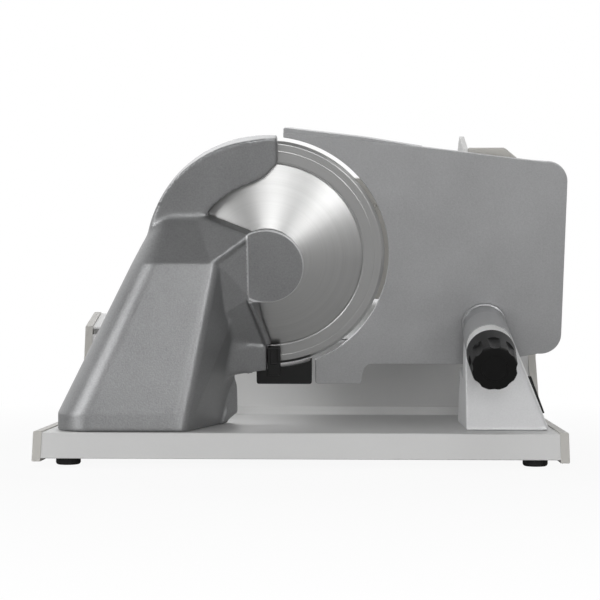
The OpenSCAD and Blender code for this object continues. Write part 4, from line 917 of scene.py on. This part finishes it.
def feet():
    profile = [(4.0, 3.0), (4.0, 0.6), (5.5, 0.6), (5.8, 0.1), (6.2, 0), (7.6, 0), (8.3, 0.4), (8.9, 1.5),
               (8.8, 5.2), (8.5, 6.0), (8.0, 6.48), (2.1, 6.48), (2.1, 3.0)]
    group = bmesh.new()
    for x, y in FEET:
        foot = lathe(profile, 48)
        bmesh.ops.translate(foot, vec=(x, y, 0), verts=foot.verts)
        single = bpy.data.meshes.new("foot")
        foot.to_mesh(single)
        foot.free()
        group.from_mesh(single)
    dress(thing("ribbed_rubber_feet", group, BASE), "rubber", "machine_body", "rubber_feet")


base_profile()
rear_housing()
end_cap("right_end_cap", 1)
end_cap("left_end_cap", -1)
feet()


# Studio

MIDDLE = (0.0, 0.0, 0.1)
LOW_MIDDLE = (0.0, 0.0, 0.12)
WHITE = (1.0, 1.0, 1.0)
AIR_GREY = (0.20, 0.20, 0.20)
PAPER_GREY = (0.72, 0.72, 0.72)


def soft_box(name, place, aim, size, power):
    lamp = bpy.data.lights.new(name, "AREA")
    lamp.shape = "RECTANGLE"
    lamp.size, lamp.size_y = size
    lamp.energy = power
    made = shown_object(name, lamp)
    made.location = place
    made.rotation_euler = (Vector(aim) - Vector(place)).to_track_quat("-Z", "Y").to_euler()


soft_box("front_box", (0.0, -2.4, 0.35), LOW_MIDDLE, (0.7, 0.7), 5.0)
soft_box("left_box", (-1.55, -1.35, 0.3), LOW_MIDDLE, (1.1, 1.1), 13.0)
soft_box("right_box", (1.05, -1.85, 0.3), LOW_MIDDLE, (0.35, 0.8), 7.5)
soft_box("top_box", (0.1, 0.2, 1.9), MIDDLE, (1.6, 1.2), 8.5)
soft_box("rear_box", (-0.6, 1.8, 1.3), MIDDLE, (1.4, 1.0), 5.0)

# White for the camera. Metal sees the same white, fading out in front of the machine.
world = bpy.data.worlds.new("studio_air")
bpy.context.scene.world = world
air = Shade(world)
ray = air.node("ShaderNodeLightPath")
toward = air.node("ShaderNodeSeparateXYZ", {}, [air.node("ShaderNodeTexCoord")[WORLD_WAY]])
backdrop = ((toward[1] + 0.35) * 1.6).clip()
mirrored = ray[GLOSSY_RAY] + ray[TRANSMISSION_RAY]
sky = air.blend((ray[CAMERA_RAY] + mirrored * backdrop).clip(), AIR_GREY, WHITE)
air.node("ShaderNodeOutputWorld", {}, {"Surface": air.node("ShaderNodeBackground", {}, {"Color": sky})[0]})

# The floor glows white for the camera, but for a part that shows the shadow near the machine.
bm = bmesh.new()
bmesh.ops.create_grid(bm, x_segments=1, y_segments=1, size=6.0)
floor_mesh = bpy.data.meshes.new("floor")
bm.to_mesh(floor_mesh)
bm.free()
floor = shown_object("floor", floor_mesh)
floor_paint = bpy.data.materials.new("floor_paper")
paper = Shade(floor_paint)
ray = paper.node("ShaderNodeLightPath")
lit = paper.node("ShaderNodeBsdfDiffuse", {}, {"Color": PAPER_GREY})[0]
glow = paper.node("ShaderNodeEmission", {}, {"Color": WHITE, "Strength": 1.0})[0]
spot = paper.node("ShaderNodeTexCoord")[OBJECT_PLACE]
away = above(paper.vector("LENGTH", spot)[VALUE], 0.25, 2.5)
paper.finish(paper.node("ShaderNodeMixShader", {}, [ray[CAMERA_RAY] * (away * 0.07 + 0.93), lit, glow])[0])
floor_mesh.materials.append(floor_paint)

eye = bpy.data.cameras.new("photo_camera")
eye.sensor_width = 36.0
eye.lens = 93.0
camera = shown_object("photo_camera", eye)
camera.location = (0.04015, -1.20194, 0.1163)
camera.rotation_euler = (math.pi / 2 + 0.0014, 0.0, 0.038)
bpy.context.scene.camera = camera
bpy.context.scene.view_settings.view_transform = "Standard"
